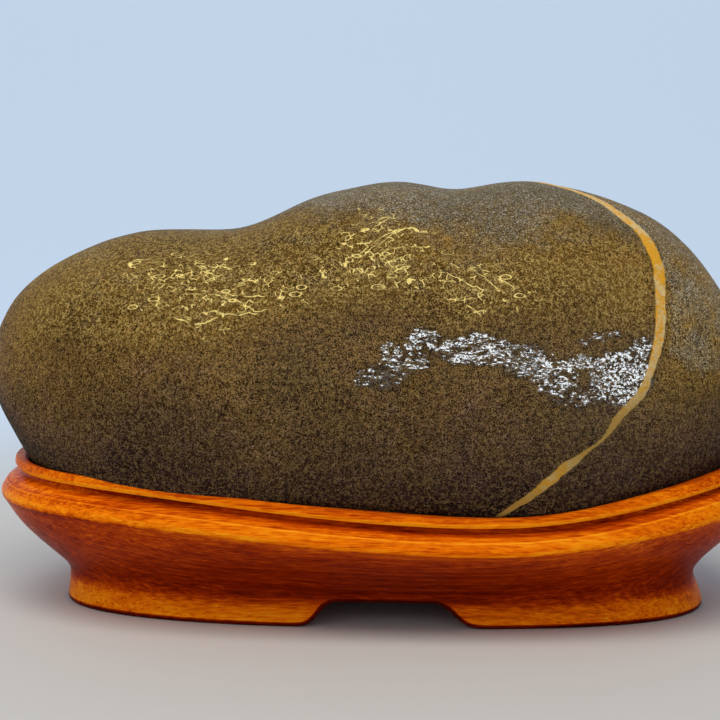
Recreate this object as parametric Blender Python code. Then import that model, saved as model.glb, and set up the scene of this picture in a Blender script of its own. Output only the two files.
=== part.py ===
"""River pebble resting in its carved hardwood stand.

The scene is in metres. The driving dimensions below are in millimetres. +X runs along
the stone, -Y is the front and +Z is up. The origin is on the table, under the middle of
the whole piece.

Two pieces are made: `stone`, one water-worn cobble, and `stand`, one block of wood with
a moulded edge, a dished seat that follows the stone, and two feet that wrap the ends.
"""

import bmesh
import bpy
import numpy as np

MM = 0.001

# ---- stone -------------------------------------------------------------------------
STONE_ENDS_X = (-124.5, 120.1)
# Height of the widest line of the stone at its left and right ends.
GIRTH_Z = (71.4, 65.2)
# The upper line of the stone seen from the front: a low lobe on the left, a shoulder
# and then two humps with a shallow dip between them.
TOP_LINE = (
    (-112.0, 101.7),
    (-96.0, 111.8),
    (-76.0, 118.0),
    (-56.0, 118.8),
    (-40.0, 120.5),
    (-23.0, 128.1),
    (-6.0, 132.8),
    (10.0, 134.3),
    (24.0, 132.2),
    (38.0, 134.1),
    (54.0, 134.0),
    (74.0, 128.8),
    (92.0, 119.9),
    (107.0, 104.1),
)
UNDER_LINE = (
    (-112.0, 48.0),
    (-98.0, 30.0),
    (-68.0, 19.7),
    (2.0, 14.2),
    (62.0, 18.7),
    (102.0, 32.2),
)
# Half-depths of the stone at its widest line, seen from above.
FRONT_LINE = (
    (-108.0, 32.5),
    (-84.0, 49.5),
    (-58.0, 58.0),
    (-30.0, 59.5),
    (2.0, 57.5),
    (40.0, 60.2),
    (58.0, 58.5),
    (76.0, 51.5),
    (100.0, 36.5),
)
BACK_LINE = (
    (-108.0, 33.0),
    (-78.0, 50.5),
    (-36.0, 57.5),
    (6.0, 59.5),
    (44.0, 58.5),
    (84.0, 48.5),
    (104.0, 35.0),
)
# How square the cross-section is: 2 is an ellipse, more is squarer.
SECTION_POWER_TOP = 2.1
SECTION_POWER_UNDER = 2.4
STONE_AROUND = 36
STONE_ALONG = 54

# ---- stand -------------------------------------------------------------------------
STAND_X = 2.0
# Outline of the foot on the table: half-length, half-depth and squareness.
FOOT_HALF = (103.0, 41.0)
FOOT_POWER = 2.75
# The moulding as (distance out from the foot outline, height), from the table up.
MOULDING = (
    # foot: undercut lower edge, then a hollow flare up to the waist
    (-1.2, 0.0),
    (0.1, 1.3),
    (0.2, 2.3),
    (-0.6, 4.2),
    (-1.5, 6.2),
    (-2.0, 8.2),
    # body: swells outward to the nose
    (-1.4, 10.2),
    (0.8, 12.5),
    (4.4, 15.5),
    (8.4, 18.4),
    (12.4, 21.2),
    (15.8, 24.0),
    (18.3, 26.4),
    # flange: a round nose, then a swelling slope up to the cove
    (19.3, 27.4),
    (19.5, 28.6),
    (19.1, 29.8),
    (17.9, 31.2),
    (16.0, 32.4),
    # cove
    (13.6, 33.4),
    (13.4, 34.0),
    (13.7, 34.6),
    # rim bead and its flat top
    (15.3, 35.2),
    (15.9, 36.2),
    (15.3, 37.4),
    (14.0, 38.0),
)
NOSE_Z = 28.0
# The moulding climbs toward both ends: its lowest place, how far the climb reaches to
# either side and how much it lifts the nose there. Below the nose the climb grows with
# this power of the height, and above it at this slope.
SHEER_LOW_X = 35.0
SHEER_REACH = (138.0, 118.0)
SHEER_RISE = (8.3, 12.5)
SHEER_POWER = 1.3
SHEER_SLOPE = 0.4
# Where the moulding stands out more, or less, toward an end: the places along X between
# which it comes in, how much it is, and the height and spread of its bell curve.
OUT_ENDS = (
    (-20.0, -95.0, 2.4, 16.5, 7.5),
    (-20.0, -95.0, -1.1, 1.5, 4.0),
    (-70.0, -112.0, -1.6, 34.5, 2.0),
    (40.0, 95.0, -1.1, 13.5, 5.5),
)
# Where it climbs more toward an end, in the same form.
UP_ENDS = (
    (55.0, 100.0, 1.0, 32.3, 2.5),
    (45.0, 80.0, 1.1, 39.0, 1.6),
)
# The gap between the stone and its seat.
SEAT_GAP = 0.3
STAND_AROUND = 76
# Radius of the round blank that the moulding is spun at before it is reshaped.
BLANK_RADIUS = 100.0
MERGE = 0.001

# ---- arch between the two feet -------------------------------------------------------
ARCH_TOP_Z = 7.3
# Middle of each S-shaped side, its run, and how many runs the S covers to each side.
ARCH_SIDE_X = (-15.9, 25.7)
ARCH_RUN = (3.2, 4.2)
ARCH_SPAN = (1.6, 1.6)
ARCH_STEPS = 7
# The cutter's length in Y and how far it starts below the table.
ARCH_LENGTH = 160.0
ARCH_BELOW = 5.0

# ---- finishes: colour, roughness -----------------------------------------------------
STONE_FINISH = ((0.085, 0.062, 0.032, 1.0), 0.32)
WOOD_FINISH = ((0.42, 0.13, 0.025, 1.0), 0.30)


def clear_scene():
    """Remove everything that a new scene starts with."""
    for obj in list(bpy.data.objects):
        bpy.data.objects.remove(obj, do_unlink=True)


def new_collection(name):
    """Return a new collection linked to the scene."""
    collection = bpy.data.collections.new(name)
    bpy.context.scene.collection.children.link(collection)
    return collection


def new_material(name, finish):
    """Return a plain Principled material with this (colour, roughness)."""
    material = bpy.data.materials.new(name)
    material.use_nodes = True
    shader = material.node_tree.nodes["Principled BSDF"]
    shader.inputs["Base Color"].default_value = finish[0]
    shader.inputs["Roughness"].default_value = finish[1]
    shader.inputs["Metallic"].default_value = 0.0
    return material


def add_object(name, mesh_builder, collection, material=None):
    """Turn a bmesh in millimetres into an object of this collection."""
    bmesh.ops.recalc_face_normals(mesh_builder, faces=mesh_builder.faces)
    for vertex in mesh_builder.verts:
        vertex.co *= MM
    mesh = bpy.data.meshes.new(name)
    mesh_builder.to_mesh(mesh)
    mesh_builder.free()
    obj = bpy.data.objects.new(name, mesh)
    collection.objects.link(obj)
    if material:
        mesh.materials.append(material)
    return obj


def natural_spline(knots, values):
    """Return a smooth curve through (knots, values) that runs on straight past both ends."""
    count = len(knots)
    step = np.diff(knots)
    slope = np.diff(values) / step
    system = np.eye(count)
    right = np.zeros(count)
    for i in range(1, count - 1):
        system[i, i - 1 : i + 2] = (step[i - 1], 2 * (step[i - 1] + step[i]), step[i])
        right[i] = 6 * (slope[i] - slope[i - 1])
    bend = np.linalg.solve(system, right)
    first_slope = slope[0] - step[0] * bend[1] / 6
    last_slope = slope[-1] + step[-1] * bend[-2] / 6

    def curve(at):
        i = np.clip(np.searchsorted(knots, at) - 1, 0, count - 2)
        inside = np.clip(at, knots[0], knots[-1])
        a = (knots[i + 1] - inside) / step[i]
        b = 1 - a
        cubic = ((a**3 - a) * bend[i] + (b**3 - b) * bend[i + 1]) * step[i] ** 2 / 6
        past = np.minimum(at - knots[0], 0) * first_slope
        past = past + np.maximum(at - knots[-1], 0) * last_slope
        return a * values[i] + b * values[i + 1] + cubic + past

    return curve


def girth_height(x):
    """Height of the widest line of the stone at x."""
    share = (x - STONE_ENDS_X[0]) / (STONE_ENDS_X[1] - STONE_ENDS_X[0])
    return GIRTH_Z[0] + (GIRTH_Z[1] - GIRTH_Z[0]) * share


def half_size(line, sign, from_girth):
    """Return the half-size of the stone against the end angle, from one of its outlines.

    The end angle is 0 at the left end and pi at the right end. The half-size is a smooth
    curve times the sine of the end angle, so both ends close round.
    """
    line = np.array(line)
    middle = sum(STONE_ENDS_X) / 2
    reach = (STONE_ENDS_X[1] - STONE_ENDS_X[0]) / 2
    angle = np.arccos((middle - line[:, 0]) / reach)
    level = girth_height(line[:, 0]) if from_girth else 0.0
    curve = natural_spline(angle, sign * (line[:, 1] - level) / np.sin(angle))
    return lambda at: curve(at) * np.sin(at)


def stone_points(directions):
    """Move unit directions onto the surface of the stone.

    The section at each x is a rounded figure with its own height above the widest line,
    depth below it, and reach to the front and to the back.
    """
    end_angle = np.arccos(np.clip(-directions[:, 0], -1, 1))
    around = np.arctan2(directions[:, 2], directions[:, 1])
    middle = sum(STONE_ENDS_X) / 2
    reach = (STONE_ENDS_X[1] - STONE_ENDS_X[0]) / 2
    x = middle - reach * np.cos(end_angle)
    up = half_size(TOP_LINE, 1, True)(end_angle)
    down = half_size(UNDER_LINE, -1, True)(end_angle)
    front = half_size(FRONT_LINE, 1, False)(end_angle)
    back = half_size(BACK_LINE, 1, False)(end_angle)
    cosine = np.cos(around)
    sine = np.sin(around)
    power = np.where(sine > 0, SECTION_POWER_TOP, SECTION_POWER_UNDER)
    y = np.where(cosine > 0, back, front) * np.sign(cosine) * np.abs(cosine) ** (2 / power)
    z = np.where(sine > 0, up, down) * np.sign(sine) * np.abs(sine) ** (2 / power)
    return np.stack([x, y, z + girth_height(x)], axis=1)


def stone_mesh(grow):
    """Return the stone as a bmesh: a sphere with its poles on X, reshaped, then grown."""
    builder = bmesh.new()
    bmesh.ops.create_uvsphere(
        builder, u_segments=STONE_AROUND, v_segments=STONE_ALONG, radius=1.0
    )
    directions = np.array([(v.co.z, v.co.x, v.co.y) for v in builder.verts])
    directions /= np.linalg.norm(directions, axis=1)[:, None]
    for vertex, point in zip(builder.verts, stone_points(directions)):
        vertex.co = point
    builder.normal_update()
    offsets = [vertex.normal * grow for vertex in builder.verts]
    for vertex, offset in zip(builder.verts, offsets):
        vertex.co += offset
    return builder


def smoothstep(low, high, value):
    """Rise smoothly from 0 at low to 1 at high."""
    share = np.clip((value - low) / (high - low), 0, 1)
    return share * share * (3 - 2 * share)


def end_terms(terms, x, z):
    """Add up bell curves of the height, each brought in smoothly toward one end."""
    total = 0.0
    for start, end, amount, middle, spread in terms:
        share = np.exp(-(((z - middle) / spread) ** 2)) * smoothstep(start, end, x)
        total = total + amount * share
    return total


def sheer(x, z):
    """How far the moulding is lifted at x, for a point whose height is z at the low place."""
    left = x < SHEER_LOW_X
    share = np.abs(x - SHEER_LOW_X) / np.where(left, *SHEER_REACH)
    climb = np.where(left, *SHEER_RISE) * (1 - np.cos(np.pi * np.clip(share, 0, 1))) / 2
    height = z / NOSE_Z
    lift = climb * np.where(height < 1, height**SHEER_POWER, 1 + SHEER_SLOPE * (height - 1))
    return lift + end_terms(UP_ENDS, x, z)


def stand_points(angle, out, z):
    """Points of the moulding: `out` from the foot outline at each angle, then sheered.

    The outline is an ellipse swollen toward a rounded oblong, and `out` is measured
    square to it.
    """
    cosine = np.cos(angle)
    sine = np.sin(angle)
    swell = (np.abs(cosine) ** FOOT_POWER + np.abs(sine) ** FOOT_POWER) ** (-1 / FOOT_POWER)
    normal_x = np.sign(cosine) * np.abs(swell * cosine) ** (FOOT_POWER - 1) / FOOT_HALF[0]
    normal_y = np.sign(sine) * np.abs(swell * sine) ** (FOOT_POWER - 1) / FOOT_HALF[1]
    length = np.hypot(normal_x, normal_y)
    x = STAND_X + FOOT_HALF[0] * swell * cosine
    out = out + end_terms(OUT_ENDS, x, z)
    x = x + out * normal_x / length
    y = FOOT_HALF[1] * swell * sine + out * normal_y / length
    return np.stack([x, y, z + sheer(x, z)], axis=1)


def stand_blank():
    """Return the block before its seat and arch are cut: the moulding spun, then reshaped."""
    builder = bmesh.new()
    profile = [(0.0, MOULDING[0][1])]
    profile += [(BLANK_RADIUS + out, z) for out, z in MOULDING]
    profile += [(0.0, MOULDING[-1][1])]
    verts = [builder.verts.new((x, 0.0, z)) for x, z in profile]
    edges = [builder.edges.new(pair) for pair in zip(verts, verts[1:])]
    bmesh.ops.spin(
        builder,
        geom=verts + edges,
        axis=(0.0, 0.0, 1.0),
        cent=(0.0, 0.0, 0.0),
        angle=2 * np.pi,
        steps=STAND_AROUND,
        use_merge=True,
    )
    bmesh.ops.remove_doubles(builder, verts=builder.verts, dist=MERGE)
    places = np.array([vertex.co for vertex in builder.verts])
    radius = np.hypot(places[:, 0], places[:, 1])
    angle = np.arctan2(places[:, 1], places[:, 0])
    moved = stand_points(angle, radius - BLANK_RADIUS, places[:, 2])
    on_axis = radius < MERGE
    moved[on_axis] = places[on_axis]
    moved[on_axis, 0] = STAND_X
    moved[on_axis, 2] += sheer(STAND_X, places[on_axis, 2])
    for vertex, place in zip(builder.verts, moved):
        vertex.co = place
    return builder


def arch_mesh():
    """Return the cutter for the arch: an outline with two S-shaped sides, drawn out in Y."""
    runs = np.linspace(-ARCH_SPAN[0], ARCH_SPAN[1], ARCH_STEPS + 1)
    climb = ARCH_TOP_Z * (1 + np.tanh(runs)) / (1 + np.tanh(ARCH_SPAN[1]))
    left = ARCH_SIDE_X[0] + ARCH_RUN[0] * runs
    right = ARCH_SIDE_X[1] - ARCH_RUN[1] * runs
    outline = [(left[0], -ARCH_BELOW), *zip(left, climb)]
    outline += [*zip(right[::-1], climb[::-1]), (right[0], -ARCH_BELOW)]
    builder = bmesh.new()
    verts = [builder.verts.new((x, -ARCH_LENGTH / 2, z)) for x, z in outline]
    face = builder.faces.new(verts)
    drawn = bmesh.ops.extrude_face_region(builder, geom=[face])["geom"]
    moved = [item for item in drawn if isinstance(item, bmesh.types.BMVert)]
    bmesh.ops.translate(builder, verts=moved, vec=(0.0, ARCH_LENGTH, 0.0))
    return builder


def cut(target, cutter, name):
    """Add an exact Boolean difference."""
    cutter.hide_render = True
    cutter.display_type = "WIRE"
    modifier = target.modifiers.new(name, "BOOLEAN")
    modifier.operation = "DIFFERENCE"
    modifier.solver = "EXACT"
    modifier.object = cutter


def build():
    """Make both pieces."""
    clear_scene()
    pieces = new_collection("river_pebble")
    cutters = new_collection("cutters")

    stone = add_object(
        "stone", stone_mesh(0.0), pieces, new_material("waxed_stone", STONE_FINISH)
    )
    stone.data.shade_smooth()

    stand = add_object(
        "stand", stand_blank(), pieces, new_material("varnished_wood", WOOD_FINISH)
    )
    seat_cutter = add_object("seat_cutter", stone_mesh(SEAT_GAP), cutters)
    arch_cutter = add_object("arch_cutter", arch_mesh(), cutters)
    cut(stand, seat_cutter, "seat")
    cut(stand, arch_cutter, "arch")


build()
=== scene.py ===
"""River pebble with a pale vein, resting in its carved hardwood stand.

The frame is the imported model's: +X along the stone, -Y the front, +Z up, the origin on
the table under the middle. Shapes are worked out in millimetres and turned into metres
once, when a mesh is made. Materials read object coordinates, in metres, and marks: named
numbers that each vertex carries.
"""

import logging
import math
from dataclasses import dataclass, field
from enum import Enum
from typing import Callable, Union

import bpy
import numpy as np
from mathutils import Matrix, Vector


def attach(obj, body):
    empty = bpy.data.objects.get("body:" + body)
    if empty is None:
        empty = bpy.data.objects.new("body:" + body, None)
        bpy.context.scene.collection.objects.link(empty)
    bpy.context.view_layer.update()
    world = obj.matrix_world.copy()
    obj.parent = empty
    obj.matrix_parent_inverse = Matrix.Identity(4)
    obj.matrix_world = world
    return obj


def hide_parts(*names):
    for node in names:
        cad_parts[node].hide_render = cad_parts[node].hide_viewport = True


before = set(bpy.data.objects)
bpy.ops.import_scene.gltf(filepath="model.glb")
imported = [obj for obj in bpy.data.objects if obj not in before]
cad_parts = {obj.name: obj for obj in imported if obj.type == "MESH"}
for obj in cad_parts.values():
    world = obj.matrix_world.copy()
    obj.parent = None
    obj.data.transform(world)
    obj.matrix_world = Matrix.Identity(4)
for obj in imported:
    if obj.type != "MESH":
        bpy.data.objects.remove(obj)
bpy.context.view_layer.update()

MM = 0.001
Array = np.ndarray
Knots = tuple[tuple[float, float], ...]
Pair = tuple[float, float]
Place = tuple[float, float, float]
Colour = tuple[float, float, float]
Stops = tuple[tuple[float, Colour], ...]
Socket = bpy.types.NodeSocket
# What a node's input takes: a link, a number or a linear colour.
Value = Union[Socket, float, Colour]

# Odd numbers that the lattice's hash multiplies by, and the range of its result.
AXIS_PRIMES = (73856093, 19349663, 83492791)
SEED_PRIME = 2654435761
MIX_PRIME = 1274126177
HASH_TOP = 0xFFFFF
HASH_HALF = 0x7FFFF


class Node(Enum):
    """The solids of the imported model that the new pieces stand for."""

    STONE = "stone"
    STAND = "stand"


class Reach(Enum):
    """What a lamp does: light surfaces, or show in their gloss."""

    LIGHT = "light"
    GLOSS = "gloss"


class Slot(Enum):
    """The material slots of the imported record."""

    WAXED_STONE = "waxed_stone"
    VARNISHED_WOOD = "varnished_wood"


# ---- mathematics ---------------------------------------------------------------------


def smoothstep(low: float, high: float, value: Array) -> Array:
    """Rise smoothly from 0 at low to 1 at high.

    Args:
        low: where the rise starts.
        high: where it ends. It may be less than low, which gives a fall.
        value: the numbers to map.

    Returns:
        3t^2 - 2t^3, where t is the share of the way, held between 0 and 1.
    """
    t = np.clip((value - low) / (high - low), 0.0, 1.0)
    return t * t * (3.0 - 2.0 * t)


def bell(value: Array, middle: float, width: float) -> Array:
    """A bell curve of height 1: exp(-((value - middle) / width)^2)."""
    return np.exp(-(((value - middle) / width) ** 2))


def natural_spline(knots: Array, values: Array) -> Callable[[Array], Array]:
    """A smooth curve through points, with no bend at its ends and straight past them.

    Args:
        knots: rising places of the points.
        values: the curve's values there.

    Returns:
        A function that gives the curve's value at any array of places.
    """
    count = len(knots)
    step = np.diff(knots)
    slope = np.diff(values) / step
    system = np.eye(count)
    right = np.zeros(count)
    inner = np.arange(1, count - 1)
    system[inner, inner - 1] = step[:-1]
    system[inner, inner] = 2.0 * (step[:-1] + step[1:])
    system[inner, inner + 1] = step[1:]
    right[inner] = 6.0 * np.diff(slope)
    bend = np.linalg.solve(system, right)
    first_slope = slope[0] - step[0] * bend[1] / 6.0
    last_slope = slope[-1] + step[-1] * bend[-2] / 6.0

    def curve(at: Array) -> Array:
        """The curve's value at each place.

        Args:
            at: the places.

        Returns:
            The cubic of the span that each place lies in, or the straight run past it.
        """
        i = np.clip(np.searchsorted(knots, at) - 1, 0, count - 2)
        inside = np.clip(at, knots[0], knots[-1])
        a = (knots[i + 1] - inside) / step[i]
        b = 1.0 - a
        cubic = ((a**3 - a) * bend[i] + (b**3 - b) * bend[i + 1]) * step[i] ** 2 / 6.0
        past = np.minimum(at - knots[0], 0.0) * first_slope
        past = past + np.maximum(at - knots[-1], 0.0) * last_slope
        return a * values[i] + b * values[i + 1] + cubic + past

    return curve


def curve_through(knots: Knots) -> Callable[[Array], Array]:
    """The natural spline through (place, value) pairs."""
    return natural_spline(*np.array(knots).T)


def lattice_noise(points: Array, size: float, seed: int) -> Array:
    """Smooth random values between -1 and 1 that change over about `size`.

    Each corner of a cubic lattice gets a value from a whole-number hash of its indices,
    and the values are blended across the cell with 3t^2 - 2t^3 along each axis.

    Args:
        points: places, with x, y, z last.
        size: edge of a lattice cell, in the points' unit.
        seed: picks another pattern.

    Returns:
        One value for each point.
    """
    scaled = points / size
    corner = np.floor(scaled).astype(np.int64)
    share = smoothstep(0.0, 1.0, scaled - corner)
    total = np.zeros(points.shape[:-1])
    for step in np.ndindex(2, 2, 2):
        scrambled = (corner + step) * AXIS_PRIMES
        key = scrambled[..., 0] ^ scrambled[..., 1] ^ scrambled[..., 2] ^ (seed * SEED_PRIME)
        key = (key ^ (key >> 13)) * MIX_PRIME
        key = (key ^ (key >> 16)) & HASH_TOP
        weight = np.prod(np.abs(1 - np.array(step) - share), axis=-1)
        total += weight * (key / HASH_HALF - 1.0)
    return total


# ---- meshes --------------------------------------------------------------------------


def grid_faces(index: Array) -> Array:
    """The four-cornered faces between neighbouring rows and columns of an index grid.

    Args:
        index: vertex numbers, rows by columns.

    Returns:
        One row of four vertex numbers for each face.
    """
    a, b = index[:-1, :-1], index[:-1, 1:]
    c, d = index[1:, 1:], index[1:, :-1]
    return np.stack([a, b, c, d], axis=-1).reshape(-1, 4)


def fan_faces(tip: int, row: Array) -> Array:
    """The triangles between one vertex and each step along a row of vertices."""
    return np.stack([np.full(len(row) - 1, tip), row[:-1], row[1:]], axis=1)


def make_mesh(
    name: str, points: Array, quads: Array, triangles: Array, marks: dict[str, Array]
) -> bpy.types.Object:
    """Put a closed surface into a mesh object at the origin, with its faces outward.

    The enclosed volume is the sum of a . (b x c) / 6 over the triangles. If it is less
    than nothing, every face is turned round.

    Args:
        name: the object's name.
        points: vertex places in millimetres.
        quads: four vertex numbers for each four-cornered face.
        triangles: three vertex numbers for each three-cornered face.
        marks: named numbers, one for each vertex, that the material reads.

    Returns:
        The new object, linked to the scene and shaded smooth.
    """
    halves = np.concatenate([quads[:, [0, 1, 2]], quads[:, [0, 2, 3]], triangles])
    a, b, c = (points[halves[:, k]] for k in range(3))
    if np.einsum("ij,ij->", a, np.cross(b, c)) < 0:
        quads, triangles = quads[:, ::-1], triangles[:, ::-1]
    corners = np.concatenate([quads.ravel(), triangles.ravel()])
    sizes = np.repeat([4, 3], [len(quads), len(triangles)])
    starts = np.concatenate([[0], np.cumsum(sizes)[:-1]])

    mesh = bpy.data.meshes.new(name)
    mesh.vertices.add(len(points))
    mesh.vertices.foreach_set("co", (points * MM).astype(np.float32).ravel())
    mesh.loops.add(len(corners))
    mesh.loops.foreach_set("vertex_index", corners.astype(np.int32))
    mesh.polygons.add(len(sizes))
    mesh.polygons.foreach_set("loop_start", starts.astype(np.int32))
    mesh.update(calc_edges=True)
    mesh.validate()
    mesh.shade_smooth()
    for mark, values in marks.items():
        attribute = mesh.attributes.new(mark, "FLOAT", "POINT")
        attribute.data.foreach_set("value", values.astype(np.float32))
    obj = bpy.data.objects.new(name, mesh)
    bpy.context.scene.collection.objects.link(obj)
    return obj


# ---- shader graphs -------------------------------------------------------------------


@dataclass(frozen=True)
class Noise:
    """A fractal noise: repeats in a metre, layers of detail, their strength, and a twist."""

    scale: float
    detail: float = 2.0
    roughness: float = 0.5
    distortion: float = 0.0


@dataclass(frozen=True)
class Span:
    """A smooth step: low..high is mapped on to to_low..to_high, and held there outside."""

    low: float
    high: float
    to_low: float = 0.0
    to_high: float = 1.0


@dataclass(frozen=True)
class Web:
    """Thin lines on a pattern of cells that a noise has shaken.

    The lines are the edges between cells or, with a ring radius in cells, rings round
    the middles of a few of them.
    """

    shakes_per_metre: float
    shake: float
    cells_per_metre: float
    width: float
    ring: float = 0.0


@dataclass
class Sheet:
    """A material's node graph, written a node at a time."""

    name: str
    material: bpy.types.Material = field(init=False)
    shader: bpy.types.Node = field(init=False)
    even: Socket = field(init=False)
    # a thin line's full strength ends, and its fade, in line widths from its middle
    line_edge: Pair = (0.3, 0.8)
    # the random numbers of the few cells that get a ring
    ringed: Span = Span(0.68, 0.70)

    def __post_init__(self) -> None:
        """Start a material that holds its Principled shader and object coordinates."""
        self.material = bpy.data.materials.new(self.name)
        self.material.use_nodes = True
        self.shader = self.material.node_tree.nodes["Principled BSDF"]
        self.even = self.place((1.0, 1.0, 1.0))

    def node(self, kind: str, inputs: dict, **settings: object) -> bpy.types.Node:
        """Add a node, with its settings, and fill its inputs.

        Args:
            kind: the node's type.
            inputs: a value for each input's name or number.
            **settings: the node's own properties.

        Returns:
            The node.
        """
        made = self.material.node_tree.nodes.new(kind)
        for key, value in settings.items():
            setattr(made, key, value)
        for key, value in inputs.items():
            self.feed(made.inputs[key], value)
        return made

    def feed(self, socket: Socket, value: Value) -> None:
        """Link an output socket to an input, or set the input's own value.

        Args:
            socket: the input.
            value: the output socket, number or colour.
        """
        if isinstance(value, Socket):
            self.material.node_tree.links.new(value, socket)
        elif isinstance(value, tuple) and len(value) == 3 and socket.type == "RGBA":
            socket.default_value = (*value, 1.0)
        else:
            socket.default_value = value

    def place(self, scale: Place) -> Socket:
        """Object coordinates, stretched by `scale` along each axis."""
        source = self.node("ShaderNodeTexCoord", {}).outputs["Object"]
        return self.node("ShaderNodeMapping", {0: source, 3: scale}).outputs[0]

    def mark(self, name: str) -> Socket:
        """The number that each vertex carries under this name."""
        return self.node("ShaderNodeAttribute", {}, attribute_name=name).outputs["Fac"]

    def noise(self, place: Socket, pattern: Noise) -> Socket:
        """Fractal noise between 0 and 1.

        Args:
            place: the coordinates that it is read at.
            pattern: its scale and detail.

        Returns:
            The noise.
        """
        inputs = {"Vector": place, "Scale": pattern.scale, "Detail": pattern.detail}
        inputs |= {"Roughness": pattern.roughness, "Distortion": pattern.distortion}
        return self.node("ShaderNodeTexNoise", inputs).outputs[0]

    def cells(
        self, place: Socket, scale: float, feature: str = "F1", output: str = "Distance"
    ) -> Socket:
        """Cell noise: the distance to a cell's middle or edge, or its random colour."""
        inputs = {"Vector": place, "Scale": scale}
        return self.node("ShaderNodeTexVoronoi", inputs, feature=feature).outputs[output]

    def shaken(self, place: Socket, scale: float, reach: float) -> Socket:
        """Coordinates shifted to and fro by a noise.

        Args:
            place: the coordinates.
            scale: the noise's repeats in a metre.
            reach: about how far it shifts them, in metres.

        Returns:
            The shifted coordinates.
        """
        made = self.node("ShaderNodeTexNoise", {"Vector": place, "Scale": scale, "Detail": 2.0})
        inputs = {0: made.outputs[1], 1: (reach,) * 3, 2: (-0.5 * reach,) * 3}
        shift = self.node("ShaderNodeVectorMath", inputs, operation="MULTIPLY_ADD")
        inputs = {0: place, 1: shift.outputs[0]}
        return self.node("ShaderNodeVectorMath", inputs, operation="ADD").outputs[0]

    def line(self, away: Value, width: float) -> Socket:
        """1 where `away` is small beside `width`, and 0 where it is large."""
        start, end = self.line_edge
        return self.span(away, Span(start * width, end * width, 1.0, 0.0))

    def web(self, place: Socket, pattern: Web) -> Socket:
        """Lines between cells, or rings round a few cells' middles.

        Args:
            place: the coordinates before they are shaken.
            pattern: the lines' sizes.

        Returns:
            1 on the lines and 0 elsewhere.
        """
        place = self.shaken(place, pattern.shakes_per_metre, pattern.shake)
        scale = pattern.cells_per_metre
        width = pattern.width * scale
        if not pattern.ring:
            return self.line(self.cells(place, scale, "DISTANCE_TO_EDGE"), width)
        away = self.math("SUBTRACT", self.cells(place, scale), pattern.ring)
        chosen = self.span(self.cells(place, scale, output="Color"), self.ringed)
        return self.math("MULTIPLY", self.line(self.math("ABSOLUTE", away), width), chosen)

    def math(self, operation: str, first: Value, *others: Value) -> Socket:
        """An operation on one number, or carried along a row of numbers.

        Args:
            operation: its name, such as ADD.
            first: the number that it starts from.
            *others: the numbers that it takes in, one after another.

        Returns:
            The last result.
        """
        for other in others or (0.0,):
            made = self.node("ShaderNodeMath", {0: first, 1: other}, operation=operation)
            first = made.outputs[0]
        return first

    def swing(self, value: Value, amount: float) -> Socket:
        """A number between 0 and 1 made one about 0: amount * (value - 0.5)."""
        return self.math("MULTIPLY", self.math("SUBTRACT", value, 0.5), amount)

    def span(self, value: Value, step: Span) -> Socket:
        """Map a number by a smooth step."""
        inputs = {0: value, 1: step.low, 2: step.high, 3: step.to_low, 4: step.to_high}
        return self.node("ShaderNodeMapRange", inputs, interpolation_type="SMOOTHSTEP").outputs[0]

    def blend(self, share: Value, a: Value, b: Value, how: str = "MIX") -> Socket:
        """Mix two colours: `share` of b over a."""
        inputs = {0: share, 6: a, 7: b}
        return self.node("ShaderNodeMix", inputs, data_type="RGBA", blend_type=how).outputs[2]

    def shaded(self, share: Value, colour: Value, tone: Socket) -> Socket:
        """A colour made `tone` times as bright, by that share."""
        grey = self.node("ShaderNodeCombineColor", {0: tone, 1: tone, 2: tone}).outputs[0]
        return self.blend(share, colour, grey, "MULTIPLY")

    def ramp(self, value: Value, stops: Stops) -> Socket:
        """A colour from a row of (place, colour) stops.

        Args:
            value: the place.
            stops: the places and their colours, linear.

        Returns:
            The colour, blended evenly between the stops on either side.
        """
        made = self.node("ShaderNodeValToRGB", {0: value})
        elements = made.color_ramp.elements
        while len(elements) < len(stops):
            elements.new(0.5)
        for element, (at, colour) in zip(elements, stops):
            element.position = at
            element.color = (*colour, 1.0)
        return made.outputs[0]

    def bump(self, height: Value, depth: float) -> Socket:
        """A surface direction tilted by a height pattern `depth` metres deep."""
        return self.node("ShaderNodeBump", {"Height": height, "Distance": depth}).outputs[0]

    def finish(self, inputs: dict[str, Value]) -> bpy.types.Material:
        """Fill the Principled shader's own sockets.

        Args:
            inputs: a value for each socket's name.

        Returns:
            The material.
        """
        for key, value in inputs.items():
            self.feed(self.shader.inputs[key], value)
        return self.material


# ---- stone ---------------------------------------------------------------------------


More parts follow.
